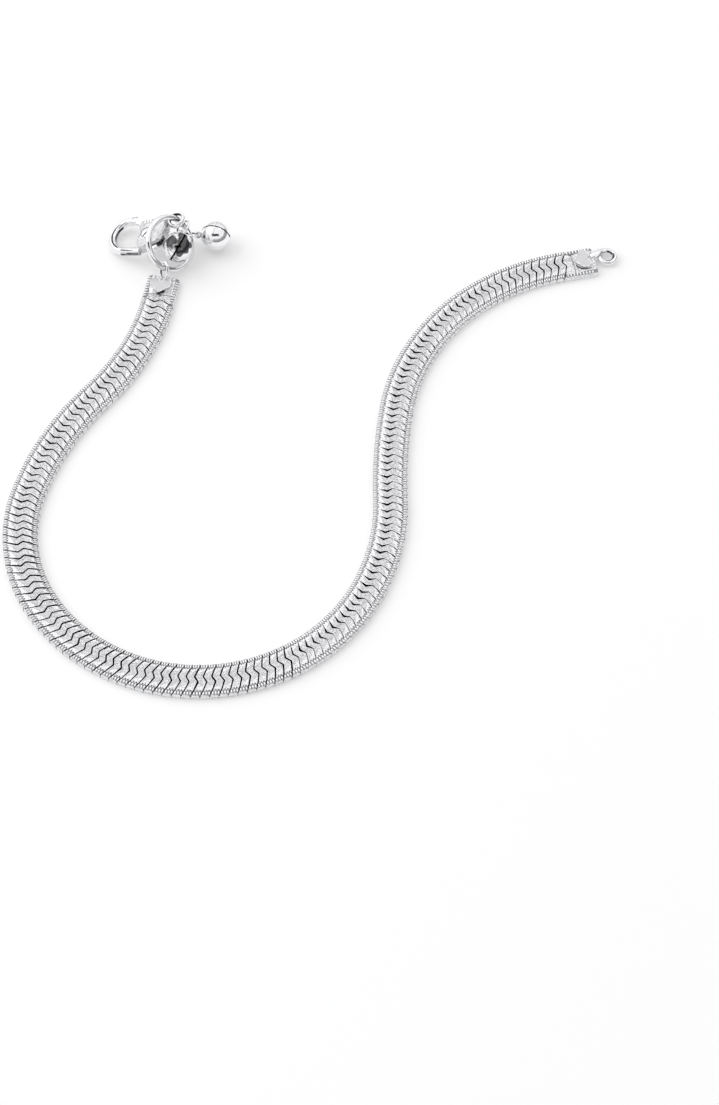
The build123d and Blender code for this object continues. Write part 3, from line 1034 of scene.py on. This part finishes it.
def wire_along(name, points, radii, sides=16):
    """A round wire through points, in mm, with its own radius at each."""
    curve = bpy.data.curves.new(name, "CURVE")
    curve.dimensions = "3D"
    curve.bevel_depth = 1.0
    curve.bevel_resolution = sides // 4 - 1
    curve.use_fill_caps = True
    spline = curve.splines.new("NURBS")
    spline.points.add(len(points) - 1)
    for point, place, radius in zip(spline.points, points, radii):
        point.co = (*place, 1.0)
        point.radius = radius
    spline.order_u = 3
    spline.use_endpoint_u = True
    spline.resolution_u = 6
    obj = bpy.data.objects.new(name, curve)
    bpy.context.scene.collection.objects.link(obj)
    hold(obj)
    bpy.ops.object.convert(target="MESH")
    obj = bpy.context.object
    edit(obj, "VERT")
    bpy.ops.mesh.select_all(action="SELECT")
    bpy.ops.mesh.remove_doubles(threshold=WELD)
    bpy.ops.mesh.normals_make_consistent(inside=False)
    done(obj)
    bpy.ops.object.shade_smooth()
    return obj


loop_centre = BAND_LENGTH + PLATE_GAP / 2 + CAP_LENGTH + TAIL_LOOP_REACH
tail_loop = spun_ring("tail_loop", TAIL_LOOP_RADIUS, TAIL_LOOP_WIRE, steps=48)
# painted shade on the loop's inner side, deeper along its bottom
painted_shade_and_reflection(tail_loop, ring_painted_lines([(0, 360, -0.80, 0.40), (240, 380, -0.40, 0.35)]))
tail_loop.data.transform(Matrix.Translation((loop_centre, TAIL_LOOP_ACROSS, TAIL_LOOP_HEIGHT)))
# the feeding wire's places along the band from the loop's centre, across, and up, and its radii
TONGUE = [
    ((-3.3, 0.75, 0.92), 0.90),
    ((-2.4, 0.95, 0.96), 1.02),
    ((-1.5, 1.55, 0.96), 0.92),
    ((-0.7, 1.92, 0.90), 0.62),
    ((0.3, 1.98, 0.85), 0.50),
]
tongue_places = [(loop_centre + along, across, up) for (along, across, up), _ in TONGUE]
tongue = wire_along("tongue", tongue_places, [radius for _, radius in TONGUE])
for piece in (tail_loop, tongue):
    piece.data.materials.append(wire_silver)
print("tail loop", len(tail_loop.data.polygons), "faces, its wire", len(tongue.data.polygons))

# %% Tail-end cap
tail_parts = [cap_base("tail_cap", 1), heart(1, 0.86, 0.90, 0.32, LOBE_SHADOW), *cap_beads(1)]
for piece in tail_parts:
    piece.data.transform(Matrix.Translation((BAND_LENGTH, 0, 0)))
tail_cap = join([*tail_parts, tail_loop, tongue], "tail_cap_dressed")
lay_along(tail_cap)
give(tail_cap, cut_silver)
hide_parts("tail_end_cap")
print("tail-end cap", len(tail_cap.data.polygons), "faces")

# %% [markdown]
# ## Flat-cut parts and cutters
# The clasp is a casting, but its body, lever and slots are all flat shapes with some
# thickness. One helper makes them: a circle primitive gives a ring of points, which
# are set on the outline, and the face is extruded. Another helper cuts one solid from
# another with a Boolean modifier, as a saw or drill would.

# %% Flat shapes and cuts
def flat_piece(name, outline, low, high, corner=0.0, edge=0.0):
    """A flat shape in the XY plane from low to high, with rounded corners and edges."""
    obj = flat_face(name, outline, low)
    edit(obj, "VERT")
    bpy.ops.mesh.select_all(action="SELECT")
    if corner:
        bpy.ops.mesh.bevel(offset=corner, segments=4, affect="VERTICES")
    bpy.ops.mesh.select_mode(type="FACE")
    bpy.ops.mesh.select_all(action="SELECT")
    extrude(z=high - low)
    faces_out()
    if edge:
        mesh = bmesh.from_edit_mesh(obj.data)
        bpy.ops.mesh.select_mode(type="EDGE")
        bpy.ops.mesh.select_all(action="DESELECT")
        select_where(mesh, mesh.edges, lambda e: abs(e.verts[0].co.z - e.verts[1].co.z) < 1e-5)
        bpy.ops.mesh.bevel(offset=edge, segments=3, affect="EDGES")
    done(obj)
    return obj


def cut(obj, cutter):
    """Take the cutter's volume away from the piece."""
    modifier = obj.modifiers.new("cut", "BOOLEAN")
    modifier.operation = "DIFFERENCE"
    modifier.solver = "EXACT"
    modifier.object = cutter
    apply_all(obj)
    bpy.data.objects.remove(cutter)
    return obj


def smooth(obj, angle=35):
    """Smooth shading that keeps real corners sharp."""
    hold(obj)
    bpy.ops.object.shade_smooth_by_angle(angle=math.radians(angle))
    return obj


def round_point(centre, radius, angle):
    """A point on a circle."""
    return (centre[0] + radius * math.cos(angle), centre[1] + radius * math.sin(angle))


def disc(centre, radius, sides=40):
    """Points of a round outline."""
    return [round_point(centre, radius, 2 * math.pi * n / sides) for n in range(sides)]


print("a disc", len(disc((0, 0), 1)), "points")

# %% [markdown]
# ## Bells
# A ghungroo is a hollow ball with a crossed slit for a mouth, pressed from sheet in
# two halves. The slit's arms end in round holes, so that the sheet doesn't tear, and a
# small pellet rattles inside. The ball is a sphere given a wall with Solidify. The
# slit is cut along its arms, and then its ends are drilled. A thin raised seam runs
# round the ball where the halves were soldered.

# %% A bell on the bench: z is its mouth, x the run of its long slit
BELL_RADIUS = 2.95
BELL_WALL = 0.45
BELL_SLIT = 0.42  # width of a slit whose end holes are BELL_HOLE in radius
BELL_HOLE = 0.42
BELL_EYE_RADIUS = 0.55
BELL_EYE_WIRE = 0.22
LINK_WIRE = 0.22
LONG_ARM_HALF_ANGLE = 72
CROSS_ARM_HALF_ANGLE = 30
CROSS_ARM_WIDTH = 0.04
SEAM_WIRE = 0.06


def slit_cutter(half_angle, turned, width):
    """A slab that cuts one arm of the mouth, and two drills for its round ends."""
    angle = math.radians(half_angle)
    reach = BELL_RADIUS + 1
    side = reach * math.sin(angle)
    outline = [(0.0, 0.0), (reach * math.cos(angle), side), (reach + 1, side)]
    outline += [(x, -y) for x, y in reversed(outline[1:])]
    slab = flat_piece("slit", outline, -width / 2, width / 2)
    # drawn with its x as the mouth's way, so it is stood up
    slab.data.transform(Matrix.Rotation(math.radians(-90), 4, "Y"))
    slab.data.transform(Matrix.Rotation(math.radians(90), 4, "Z"))
    drills = []
    for way in (-1, 1):
        drill = flat_piece("drill", disc((0, 0), BELL_HOLE * width / BELL_SLIT, 16), 1.4, reach)
        drill.data.transform(Matrix.Rotation(way * angle, 4, "Y"))
        drills.append(drill)
    for piece in (slab, *drills):
        piece.data.transform(Matrix.Rotation(turned, 4, "Z"))
    return [slab, *drills]


def bell_ball(name, long_slit):
    """The hollow ball with its crossed mouth. long_slit is the long arm's width."""
    bpy.ops.object.select_all(action="DESELECT")
    bpy.ops.mesh.primitive_uv_sphere_add(segments=56, ring_count=36, radius=BELL_RADIUS)
    ball = bpy.context.object
    ball.name = name
    wall = ball.modifiers.new("wall", "SOLIDIFY")
    wall.thickness = BELL_WALL
    wall.offset = -1
    apply_all(ball)
    arms = (
        (LONG_ARM_HALF_ANGLE, 0.0, long_slit),
        (CROSS_ARM_HALF_ANGLE, math.pi / 2, CROSS_ARM_WIDTH),
    )
    for half_angle, turned, width in arms:
        for cutter in slit_cutter(half_angle, turned, width):
            cut(ball, cutter)
    smooth(ball, 30)
    ball.data.materials.append(wire_silver)
    ball.data.materials.append(painted_shade_black)
    # painted shade: the inside of the ball and the walls of its slits take the near-black finish
    for face in ball.data.polygons:
        face.material_index = 1 if face.center.length < BELL_RADIUS - 0.1 else 0
    seam_and_shadow_strip = spun_ring("seam_and_shadow_strip", BELL_RADIUS - SEAM_WIRE / 2, SEAM_WIRE, steps=56, sides=8)
    seam_and_shadow_strip.data.materials.append(mirror_silver)
    return join([ball, seam_and_shadow_strip], name)


print("a bell is", 2 * BELL_RADIUS, "mm across, its wall", BELL_WALL)

# %% [markdown]
# Each bell has its place, its mouth's direction and the run of its long slit, and its
# link hangs on a given point of the jump ring. The front bell carries painted reflections,
# dark patches round its mouth, and the other bell one small one. A patch is given as a
# direction from the bell's centre and a spread.

# %% Places and painted reflections of the two bells
# centre, mouth, run of the long slit, where its link hangs
BELLS = {
    "a": (
        (-27.71, 44.89, 4.50),
        (0.012, -0.701, 0.708),
        (-0.509, -0.689, -0.515),
        (-26.77, 50.25, 4.60),
    ),
    "b": (
        (-20.54, 48.89, 2.97),
        (0.0, 0.0, 1.0),
        (0.966, -0.259, 0.0),
        (-25.81, 49.25, 2.96),
    ),
}
# painted reflections, as dark patches: direction, and spread (1 is the bell's radius)
PAINTED_REFLECTIONS = {
    "a": [
        ((-0.40, -0.25, 0.88), 0.80),
        ((0.42, -0.26, 0.87), 0.75),
        ((0.05, -0.68, 0.73), 0.45),
        ((0.36, 0.22, 0.90), 0.60),
        ((0.55, -0.62, 0.56), 0.46),
        ((0.15, -0.86, 0.48), 0.44),
        ((0.78, -0.28, 0.55), 0.42),
        ((-0.33, -0.83, -0.44), 0.25),
        ((-0.09, -0.91, -0.41), 0.25),
        ((0.15, -0.90, -0.40), 0.25),
        ((0.36, -0.86, -0.37), 0.25),
    ],
    "b": [((-0.75, -0.45, 0.48), 0.24)],
}
SLITS = {"a": 0.34, "b": 0.26}  # widths of the long slits


def on_ring(point):
    """The nearest point of the jump ring's centre circle."""
    offset = point - RING_CENTRE
    flat = offset - RING_NORMAL * offset.dot(RING_NORMAL)
    return RING_CENTRE + flat.normalized() * RING_RADIUS


def patch_painted_reflections(centre, patches):
    """Painted reflections, as dark patches on a ball, once the ball is in its place."""
    aims = [(Vector(aim).normalized(), spread) for aim, spread in patches]

    def amount(place, normal):
        way = (place / MM - centre).normalized()
        return max(near((way - aim).length, 0.0, spread) for aim, spread in aims)

    return amount


print("dark patches", {letter: len(patches) for letter, patches in PAINTED_REFLECTIONS.items()})

# %% Hang the bells on the jump ring
EYE_SINK = 0.1  # how deep a bell's eye is soldered into its ball
LINK_PLAY = 0.15
eye_reach = BELL_RADIUS + BELL_EYE_RADIUS - EYE_SINK

for letter, (centre, mouth, run, hook) in BELLS.items():
    centre, hook = Vector(centre), on_ring(Vector(hook))
    out = (hook - centre).normalized()
    wire_run = RING_NORMAL.cross(hook - RING_CENTRE).normalized()
    link_normal = (wire_run - out * wire_run.dot(out)).normalized()
    eye_normal = link_normal.cross(out).normalized()
    ball = bell_ball("bell_ball_" + letter, SLITS[letter])
    set_in_place(ball, centre, run, mouth)
    # painted reflections on the ball
    painted_shade_and_reflection(ball, patch_painted_reflections(centre, PAINTED_REFLECTIONS[letter]))
    eye = spun_ring("bell_eye_" + letter, BELL_EYE_RADIUS, BELL_EYE_WIRE, steps=28, sides=12)
    # painted shade on the eye's inner side
    painted_shade_and_reflection(eye, ring_painted_lines(INSIDE))
    eye.data.materials.append(wire_silver)
    set_in_place(eye, centre + out * eye_reach, out, eye_normal)
    bell = join([ball, eye], "dressed_bell_" + letter)
    give(bell, mirror_silver)
    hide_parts("bell_" + letter)
    far_end = (hook - centre).length + RING_WIRE + LINK_WIRE + LINK_PLAY
    link_radius = (far_end - eye_reach) / 2
    link = spun_ring("bell_link_wire_" + letter, link_radius, LINK_WIRE, steps=40, sides=12)
    # painted shade on the link's inner side
    painted_shade_and_reflection(link, ring_painted_lines(INSIDE))
    set_in_place(link, centre + out * ((eye_reach + far_end) / 2), out, link_normal)
    give(link, wire_silver)
    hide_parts("bell_link_" + letter)
    print("bell", letter, len(bell.data.polygons), "faces, link", len(link.data.polygons))

# %% [markdown]
# ## Lobster clasp
# The clasp is drawn flat in its own plane: a claw of round wire, a body with a slot, an
# eye, and a lever that turns on a rivet. The wire's section is extruded along the bar,
# spun half round for the claw, and extruded on for the tip.

# %% The claw
CLASP_ORIGIN = (-40.83, 50.33, 0.86)
CLASP_AXIS = (0.931, 0.018, 0.365)
CLASP_NORMAL = (-0.365, -0.007, 0.931)
CLAW_WIRE = 0.8
CLAW_RADIUS = 3.65
CLAW_CENTRE = (3.6, -0.95)
CLAW_TURN = -17.0
CLAW_BAR = 3.6
CLAW_TIP = 0.75


def claw():
    """The claw's wire, on the clasp's own bench plane."""
    bpy.ops.object.select_all(action="DESELECT")
    bpy.ops.mesh.primitive_circle_add(
        vertices=24,
        radius=CLAW_WIRE,
        location=(CLAW_BAR, -CLAW_RADIUS, 0),
        rotation=(0, math.pi / 2, 0),
    )
    obj = bpy.context.object
    obj.name = "claw"
    bpy.ops.object.transform_apply(location=True, rotation=True, scale=True)
    edit(obj, "VERT")
    bpy.ops.mesh.select_all(action="SELECT")
    extrude(x=-CLAW_BAR)
    bpy.ops.mesh.spin(steps=36, angle=math.pi, center=(0, 0, 0), axis=(0, 0, 1))
    extrude(x=CLAW_TIP)
    bpy.ops.mesh.select_all(action="SELECT")
    bpy.ops.mesh.remove_doubles(threshold=WELD)
    bpy.ops.mesh.fill_holes(sides=0)
    faces_out()
    done(obj)
    place = Matrix.Translation((*CLAW_CENTRE, 0)) @ Matrix.Rotation(math.radians(CLAW_TURN), 4, "Z")
    obj.data.transform(place)
    return obj


print("the claw is", 2 * CLAW_RADIUS, "mm across its wire's middle")

# %% Cut the claw's tip on a slant, where the lever's gate meets it
TIP_CUT = (3.09, 1.82)
TIP_CUT_ANGLE = 24.0
TIP_GAP = 0.10


def tip_side(below):
    """Outline of what is cut from the claw's tip (below) or from the lever (above)."""
    slope = math.radians(TIP_CUT_ANGLE)
    shift = (-TIP_GAP if below else TIP_GAP) / 2
    x = TIP_CUT[0] + shift * math.sin(slope)
    y = TIP_CUT[1] - shift * math.cos(slope)
    start = round_point((x, y), -0.25, slope)
    end = round_point((x, y), 4.0, slope)
    if below:
        return [start, end, (end[0], 0.8), (start[0], 0.8)]
    far = round_point((x, y), -2.5, slope)
    return [far, end, (end[0], end[1] + 1), (far[0], end[1] + 1)]


claw_wire = claw()
cut(claw_wire, flat_piece("tip_cut", tip_side(True), -1.5, 1.5))
smooth(claw_wire, 40)
print("claw", len(claw_wire.data.polygons), "faces")

# %% Painted reflections on the claw
CLAW_ARC = (110, 238)  # degrees round the claw's centre
CLAW_BAR_TURN = (246, 330)
CLAW_BAR_RUN = (0.2, 6.4)  # mm along the clasp


def claw_painted_reflections(place, normal):
    """Painted reflections: dark lines along the claw's left arc and along its bar."""
    arm = Vector((place.x - CLAW_CENTRE[0], place.y - CLAW_CENTRE[1], 0))
    inward = -normal.dot(arm.normalized())
    turn = math.degrees(math.atan2(arm.y, arm.x)) % 360
    if normal.z < -0.3:
        return 0.0
    first, last = CLAW_ARC
    if first < turn < last:
        ends = min(1.0, (turn - first) / 20, (last - turn) / 12)
        return ends * max(near(inward, 0.26, 0.30), near(inward, 1.0, 0.14))
    low, high = CLAW_BAR_RUN
    if CLAW_BAR_TURN[0] < turn < CLAW_BAR_TURN[1] and low < place.x < high:
        ends = min(1.0, (place.x - low) / 0.8, (high - place.x) / 0.8)
        return ends * max(near(inward, -0.26, 0.24), near(inward, -0.94, 0.12))
    return 0.0


painted_shade_and_reflection(claw_wire, claw_painted_reflections)
painted = [point.value for point in claw_wire.data.attributes["painted_shade_and_reflection"].data if point.value > 0]
print("claw stained at", len(painted), "points")

# %% [markdown]
# The body is a flat shape with soft edges. The lever's slot is sawn into its middle,
# as two fans round the pivot. A raised collar goes round the rivet, and three short
# ridges by the gate give the thumb a grip. The eye is a spun ring with a flattened
# section.

# %% The clasp's body
BODY_THICK = 2.4
BODY_OUTLINE = [
    (5.9, -5.3),
    (5.6, -3.6),
    (6.3, -1.6),
    (6.2, 0.4),
    (6.7, 1.25),
    (8.2, 1.05),
    (10.4, 0.75),
    (11.9, 0.6),
    (11.9, -1.5),
    (10.6, -4.6),
    (8.6, -5.25),
]
SLOT_THICK = 1.2
PIVOT = (7.9, -2.4)
SLOT_FANS = [(76, 165, 7.0), (-95, -18, 6.0)]  # from and to in degrees, and reach
BOSS_RADIUS = 1.55
EYE_CENTRE = (13.65, -0.1)
EYE_WIRE = 0.35
EYE_HALF_THICK = 0.6
COLLAR_RADIUS, COLLAR_WIRE = 1.42, 0.16
RIDGES = (7.35, 7.95, 8.55)
RIDGE_OUTLINE = [(0.0, 0.05), (0.30, 0.02), (0.38, 0.92), (0.08, 0.95)]

body = flat_piece("body", BODY_OUTLINE, -BODY_THICK / 2, BODY_THICK / 2, corner=0.45, edge=0.4)
for first, last, radius in SLOT_FANS:
    fan = [PIVOT]
    for step in range(4):
        angle = math.radians(first + (last - first) * step / 3)
        fan.append(round_point(PIVOT, radius, angle))
    cut(body, flat_piece("fan", fan, -SLOT_THICK / 2, SLOT_THICK / 2))
cut(body, flat_piece("boss", disc(PIVOT, BOSS_RADIUS), -SLOT_THICK / 2, SLOT_THICK / 2))
smooth(body, 32)
print("body", len(body.data.polygons), "faces")

# %% Collar, ridges and eye, and the whole casting
collar = spun_ring("collar", COLLAR_RADIUS, COLLAR_WIRE, steps=40, sides=10)
# painted shade on the collar's inner side, over half its round
painted_shade_and_reflection(collar, ring_painted_lines([(20, 200, -0.8, 0.5)]))
collar.data.transform(Matrix.Translation((*PIVOT, BODY_THICK / 2 - 0.02)))
ridges = [
    flat_piece("ridge", [(start + x, y) for x, y in RIDGE_OUTLINE], 1.1, 1.32, edge=0.07)
    for start in RIDGES
]
eye = spun_ring("clasp_eye", 1.50, EYE_WIRE, steps=44, sides=16)
# painted shade on the eye's inner side
painted_shade_and_reflection(eye, ring_painted_lines(INSIDE))
for vertex in eye.data.vertices:
    vertex.co.z *= EYE_HALF_THICK / EYE_WIRE
eye.data.transform(Matrix.Translation((*EYE_CENTRE, 0)))
for piece in (claw_wire, collar, *ridges, eye):
    piece.data.materials.append(wire_silver)
body.data.materials.append(cast_silver)
clasp = join([claw_wire, body, collar, *ridges, eye], "dressed_clasp_body")
set_in_place(clasp, CLASP_ORIGIN, CLASP_AXIS, CLASP_NORMAL)
give(clasp, wire_silver)
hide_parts("clasp_body")
print("clasp body", len(clasp.data.polygons), "faces")

# %% [markdown]
# The rivet holds the lever in the body. Its two heads are low and round, and the upper
# one has a slot sawn across it, whose floor is painted dark as shade, so it can be told
# from the casting.

# %% The rivet, with a slot across its low head
RIVET_RADIUS = 0.6
RIVET_HEAD = 1.1
HEAD_HEIGHT = 0.28
SLOT_FLOOR = 1.34
SLOT_LENGTH, SLOT_WIDTH = 2.6, 0.32
SLOT_TURN = 44  # degrees

rivet = flat_piece("rivet", disc(PIVOT, RIVET_RADIUS, 24), -BODY_THICK / 2, BODY_THICK / 2)
heads = []
for side in (-1, 1):
    low, high = sorted((side * BODY_THICK / 2, side * (BODY_THICK / 2 + HEAD_HEIGHT)))
    heads.append(flat_piece("rivet_head", disc(PIVOT, RIVET_HEAD, 32), low, high, edge=0.12))
x, y = SLOT_LENGTH / 2, SLOT_WIDTH / 2
saw = flat_piece("screw_slot", [(-x, -y), (x, -y), (x, y), (-x, y)], SLOT_FLOOR, 1.8)
turn = Matrix.Rotation(math.radians(SLOT_TURN), 4, "Z")
saw.data.transform(Matrix.Translation((*PIVOT, 0)) @ turn)
cut(heads[1], saw)
rivet = join([rivet, *heads], "dressed_rivet")
smooth(rivet, 30)
# painted shade on the floor of the slot
painted_shade_and_reflection(rivet, lambda place, normal: near(place.z, SLOT_FLOOR, 0.04) if place.length > 1 else 0.0)
set_in_place(rivet, CLASP_ORIGIN, CLASP_AXIS, CLASP_NORMAL)
give(rivet, wire_silver)
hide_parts("clasp_rivet")
print("rivet", len(rivet.data.polygons), "faces")

# %% [markdown]
# The lever is cut to the run of its arm. The gate closes the claw with a slanted
# meeting, and the round knob is for the thumb. It turns with the clasp's hinge, so it
# rides on the lever's own body.

# %% The lever
LEVER_WIDTH = 1.35
LEVER_THICK = 1.0
GATE_THICK = 1.5
LEVER_BOSS = 1.35
LEVER_BORE = 0.65
KNOB_RADIUS = 0.7
LEVER_PATH = [(7.9, -2.4), (7.2, 0.0), (6.3, 1.5), (5.3, 2.2)]
GATE_PATH = [(5.35, 2.15), (4.5, 2.5), (2.6, 2.6)]
THUMB_PATH = [(7.9, -2.4), (8.6, -4.0), (9.0, -5.35)]


def strip(path, width):
    """Outline of a strip of even width along a path."""
    left, right = [], []
    for index, point in enumerate(path):
        before, after = path[max(index - 1, 0)], path[min(index + 1, len(path) - 1)]
        run = Vector((after[0] - before[0], after[1] - before[1])).normalized()
        side = Vector((-run.y, run.x)) * width / 2
        left.append((point[0] + side.x, point[1] + side.y))
        right.append((point[0] - side.x, point[1] - side.y))
    return left + right[::-1]


half_thick = LEVER_THICK / 2
arm = flat_piece("arm", strip(LEVER_PATH, LEVER_WIDTH), -half_thick, half_thick)
thumb = flat_piece("thumb", strip(THUMB_PATH, LEVER_WIDTH * 0.9), -half_thick, half_thick)
boss = flat_piece("boss", disc(PIVOT, LEVER_BOSS), -half_thick, half_thick)
knob = flat_piece("knob", disc(THUMB_PATH[-1], KNOB_RADIUS, 24), -half_thick, half_thick, edge=0.25)
gate = flat_piece("gate", strip(GATE_PATH, LEVER_WIDTH), -GATE_THICK / 2, GATE_THICK / 2, edge=0.38)
for piece in (arm, gate):
    cut(piece, flat_piece("tip_cut", tip_side(False), -1.5, 1.5))
for piece in (arm, boss, thumb):
    cut(piece, flat_piece("bore", disc(PIVOT, LEVER_BORE, 24), -1, 1))
lever = join([arm, thumb, boss, knob, gate], "dressed_lever")
smooth(lever, 32)
set_in_place(lever, CLASP_ORIGIN, CLASP_AXIS, CLASP_NORMAL)
give(lever, mirror_silver, body="lever")
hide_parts("clasp_lever")
print("lever", len(lever.data.polygons), "faces")

# %% [markdown]
# ## What stays from the CAD
# Two pieces keep their CAD shape: the pellets inside the bells. Every CAD node gets the
# mirror finish, so that no plain surface is left, whichever piece is looked at.

# %% Finishes of the CAD nodes
for name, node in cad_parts.items():
    node.data.materials.clear()
    node.data.materials.append(mirror_silver)
print("polished", len(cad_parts), "CAD nodes")

# %% [markdown]
# ## Table
# The anklet is shown on plain white, so close to the light that the table burns out to
# white and keeps only a soft shadow under the band. A faint glow of its own lifts the
# table the last bit, as paper lit from below would.

# %% Table
TABLE_GREY = 0.76
TABLE_GLOW = 0.20
bpy.ops.object.select_all(action="DESELECT")
bpy.ops.mesh.primitive_plane_add(size=3.0, location=(0, 0, 0))
table = bpy.context.object
table.name = "white_table"
paper = bpy.data.materials.new("white_table")
paper.use_nodes = True
paper_inputs = paper.node_tree.nodes["Principled BSDF"].inputs
paper_inputs["Base Color"].default_value = (TABLE_GREY, TABLE_GREY, TABLE_GREY, 1)
paper_inputs["Roughness"].default_value = 0.9
paper_inputs["Emission Color"].default_value = (1, 1, 1, 1)
paper_inputs["Emission Strength"].default_value = TABLE_GLOW
table.data.materials.append(paper)
print("table", round(table.dimensions.x, 1), "m wide")

# %% [markdown]
# ## Studio dome
# Polished silver shows whatever is round it, so the look of the metal is made here. The
# dome is a light tent: dim at the horizon, bright over most of its height. It has a dark
# opening, through which the anklet is seen, and polished wire mirrors that as thin dark
# lines. A grey card stands low on the right, in front, and draws a grey edge on each
# wire. Each shape is a mask: how far a direction leans to an axis, turned into a number
# from 0 to 1 with a soft edge.

# %% Studio dome
SKY = ((0.22, 0.78), (0.50, 0.92), (0.72, 0.90), (0.84, 0.88), (0.93, 0.92))  # height, grey
HORIZON = (0.45, 0.45, 0.455, 1)
ZENITH = (0.95, 0.95, 0.95, 1)
DOME_STRENGTH = 1.06
OPENING = (0.0, -0.545, 0.839)
OPENING_UP = (0.0, 0.839, 0.545)
OPENING_SIDE = (1.0, 0.0, 0.0)
CARD = (0.80, -0.60, 0.0)
CARD_DARK = 0.60
DARKEST = 0.03  # of the sky behind it

world = bpy.data.worlds.new("studio")
bpy.context.scene.world = world
world.use_nodes = True
sky = world.node_tree
way = add_node(sky, "TexCoord", {}).outputs["Generated"]
height = add_node(sky, "SeparateXYZ", {"Vector": way}).outputs["Z"]
ramp = add_node(sky, "ValToRGB", {"Fac": height})
ramp.color_ramp.elements[0].color = HORIZON
ramp.color_ramp.elements[1].color = ZENITH
for position, grey in SKY:
    stop = ramp.color_ramp.elements.new(position)
    stop.color = (grey, grey, grey * 1.01, 1)
print("sky", len(ramp.color_ramp.elements), "tones")

# %% Masks on the dome
def maths(operation, *values):
    """A value worked out from others."""
    return add_node(sky, "Math", dict(enumerate(values)), operation=operation).outputs["Value"]


def lean(axis, either=False):
    """How far a direction leans to an axis, or to either end of it."""
    value = add_node(sky, "VectorMath", {0: way, 1: axis}, operation="DOT_PRODUCT").outputs["Value"]
    return maths("ABSOLUTE", value) if either else value


def fade(value, **ends):
    """A value mapped from one range to another, and kept inside it."""
    sockets = {name.replace("_", " ").title(): end for name, end in ends.items()}
    return add_node(sky, "MapRange", {"Value": value, **sockets}).outputs["Result"]


opening = maths(
    "MULTIPLY",
    fade(lean(OPENING), from_min=0.75, from_max=0.80),
    fade(lean(OPENING_UP, either=True), from_min=0.20, from_max=0.13),
)
across = fade(lean(OPENING_SIDE, either=True), from_min=0.50, from_max=0.42)
opening = maths("MULTIPLY", opening, across)
card = maths(
    "MULTIPLY",
    fade(height, from_min=0.46, from_max=0.38),
    fade(lean(CARD), from_min=0.20, from_max=0.32),
)
shadow = maths("MAXIMUM", maths("MULTIPLY", card, CARD_DARK), opening)
shade = add_node(
    sky,
    "Mix",
    {SHARE: 1.0, FIRST: ramp.outputs["Color"], SECOND: fade(shadow, to_min=1.0, to_max=DARKEST)},
    data_type="RGBA",
    blend_type="MULTIPLY",
)
background = sky.nodes["Background"].inputs
sky.links.new(shade.outputs[MIXED], background["Color"])
background["Strength"].default_value = DOME_STRENGTH
print("dome", len(sky.nodes), "nodes")

# %% [markdown]
# ## Lamps
# A large soft lamp hangs above and to the left and gives the shadow its side. A second
# one in nearly the same place is weaker, and is the one that the metal mirrors. Two
# small lamps stand behind, to the right and to the left, and add small bright mirror
# images to the polished metal.

# %% Soft light
def soft_light(name, place, size, power):
    """A square soft light that looks at the anklet."""
    data = bpy.data.lights.new(name, "AREA")
    data.shape = "RECTANGLE"
    data.size, data.size_y = size
    data.energy = power
    lamp = bpy.data.objects.new(name, data)
    lamp.location = place
    lamp.rotation_euler = (-Vector(place)).to_track_quat("-Z", "Y").to_euler()
    bpy.context.scene.collection.objects.link(lamp)
    return lamp


key = soft_light("key_light", (-0.74, 0.32, 0.66), (0.95, 0.95), 3.0)
key.visible_glossy = False
soft_light("key_screen", (-0.70, 0.30, 0.62), (0.95, 0.95), 1.3)
soft_light("right_card", (0.40, 0.43, 0.80), (0.25, 0.25), 0.30)
soft_light("left_card", (-0.10, 0.63, 0.77), (0.17, 0.17), 0.12)

# %% [markdown]
# ## Camera
# The camera looks down at the table from the front, about 57 degrees above the horizon,
# through a long lens, so that the near and far sides of the anklet look much the same
# size.

# %% Camera
CAMERA_PLACE = (0.007486, -0.32186, 0.4604)
CAMERA_TILT = 33  # degrees from straight down
LENS, SENSOR = 97.74, 36
camera_data = bpy.data.cameras.new("camera")
camera = bpy.data.objects.new("camera", camera_data)
bpy.context.scene.collection.objects.link(camera)
camera.location = CAMERA_PLACE
camera.rotation_euler = (math.radians(CAMERA_TILT), 0, 0)
camera_data.lens = LENS
camera_data.sensor_width = SENSOR
camera_data.clip_start = 0.01
bpy.context.scene.camera = camera
bpy.context.scene.view_settings.view_transform = "Standard"
print("camera", [round(v, 3) for v in camera.location], "lens", LENS)

# %% [markdown]
# ## Put the masters away
# The bench masters are put away.

# %% Put the masters away
for master in (master_bead, end_bead):
    bpy.data.objects.remove(master)
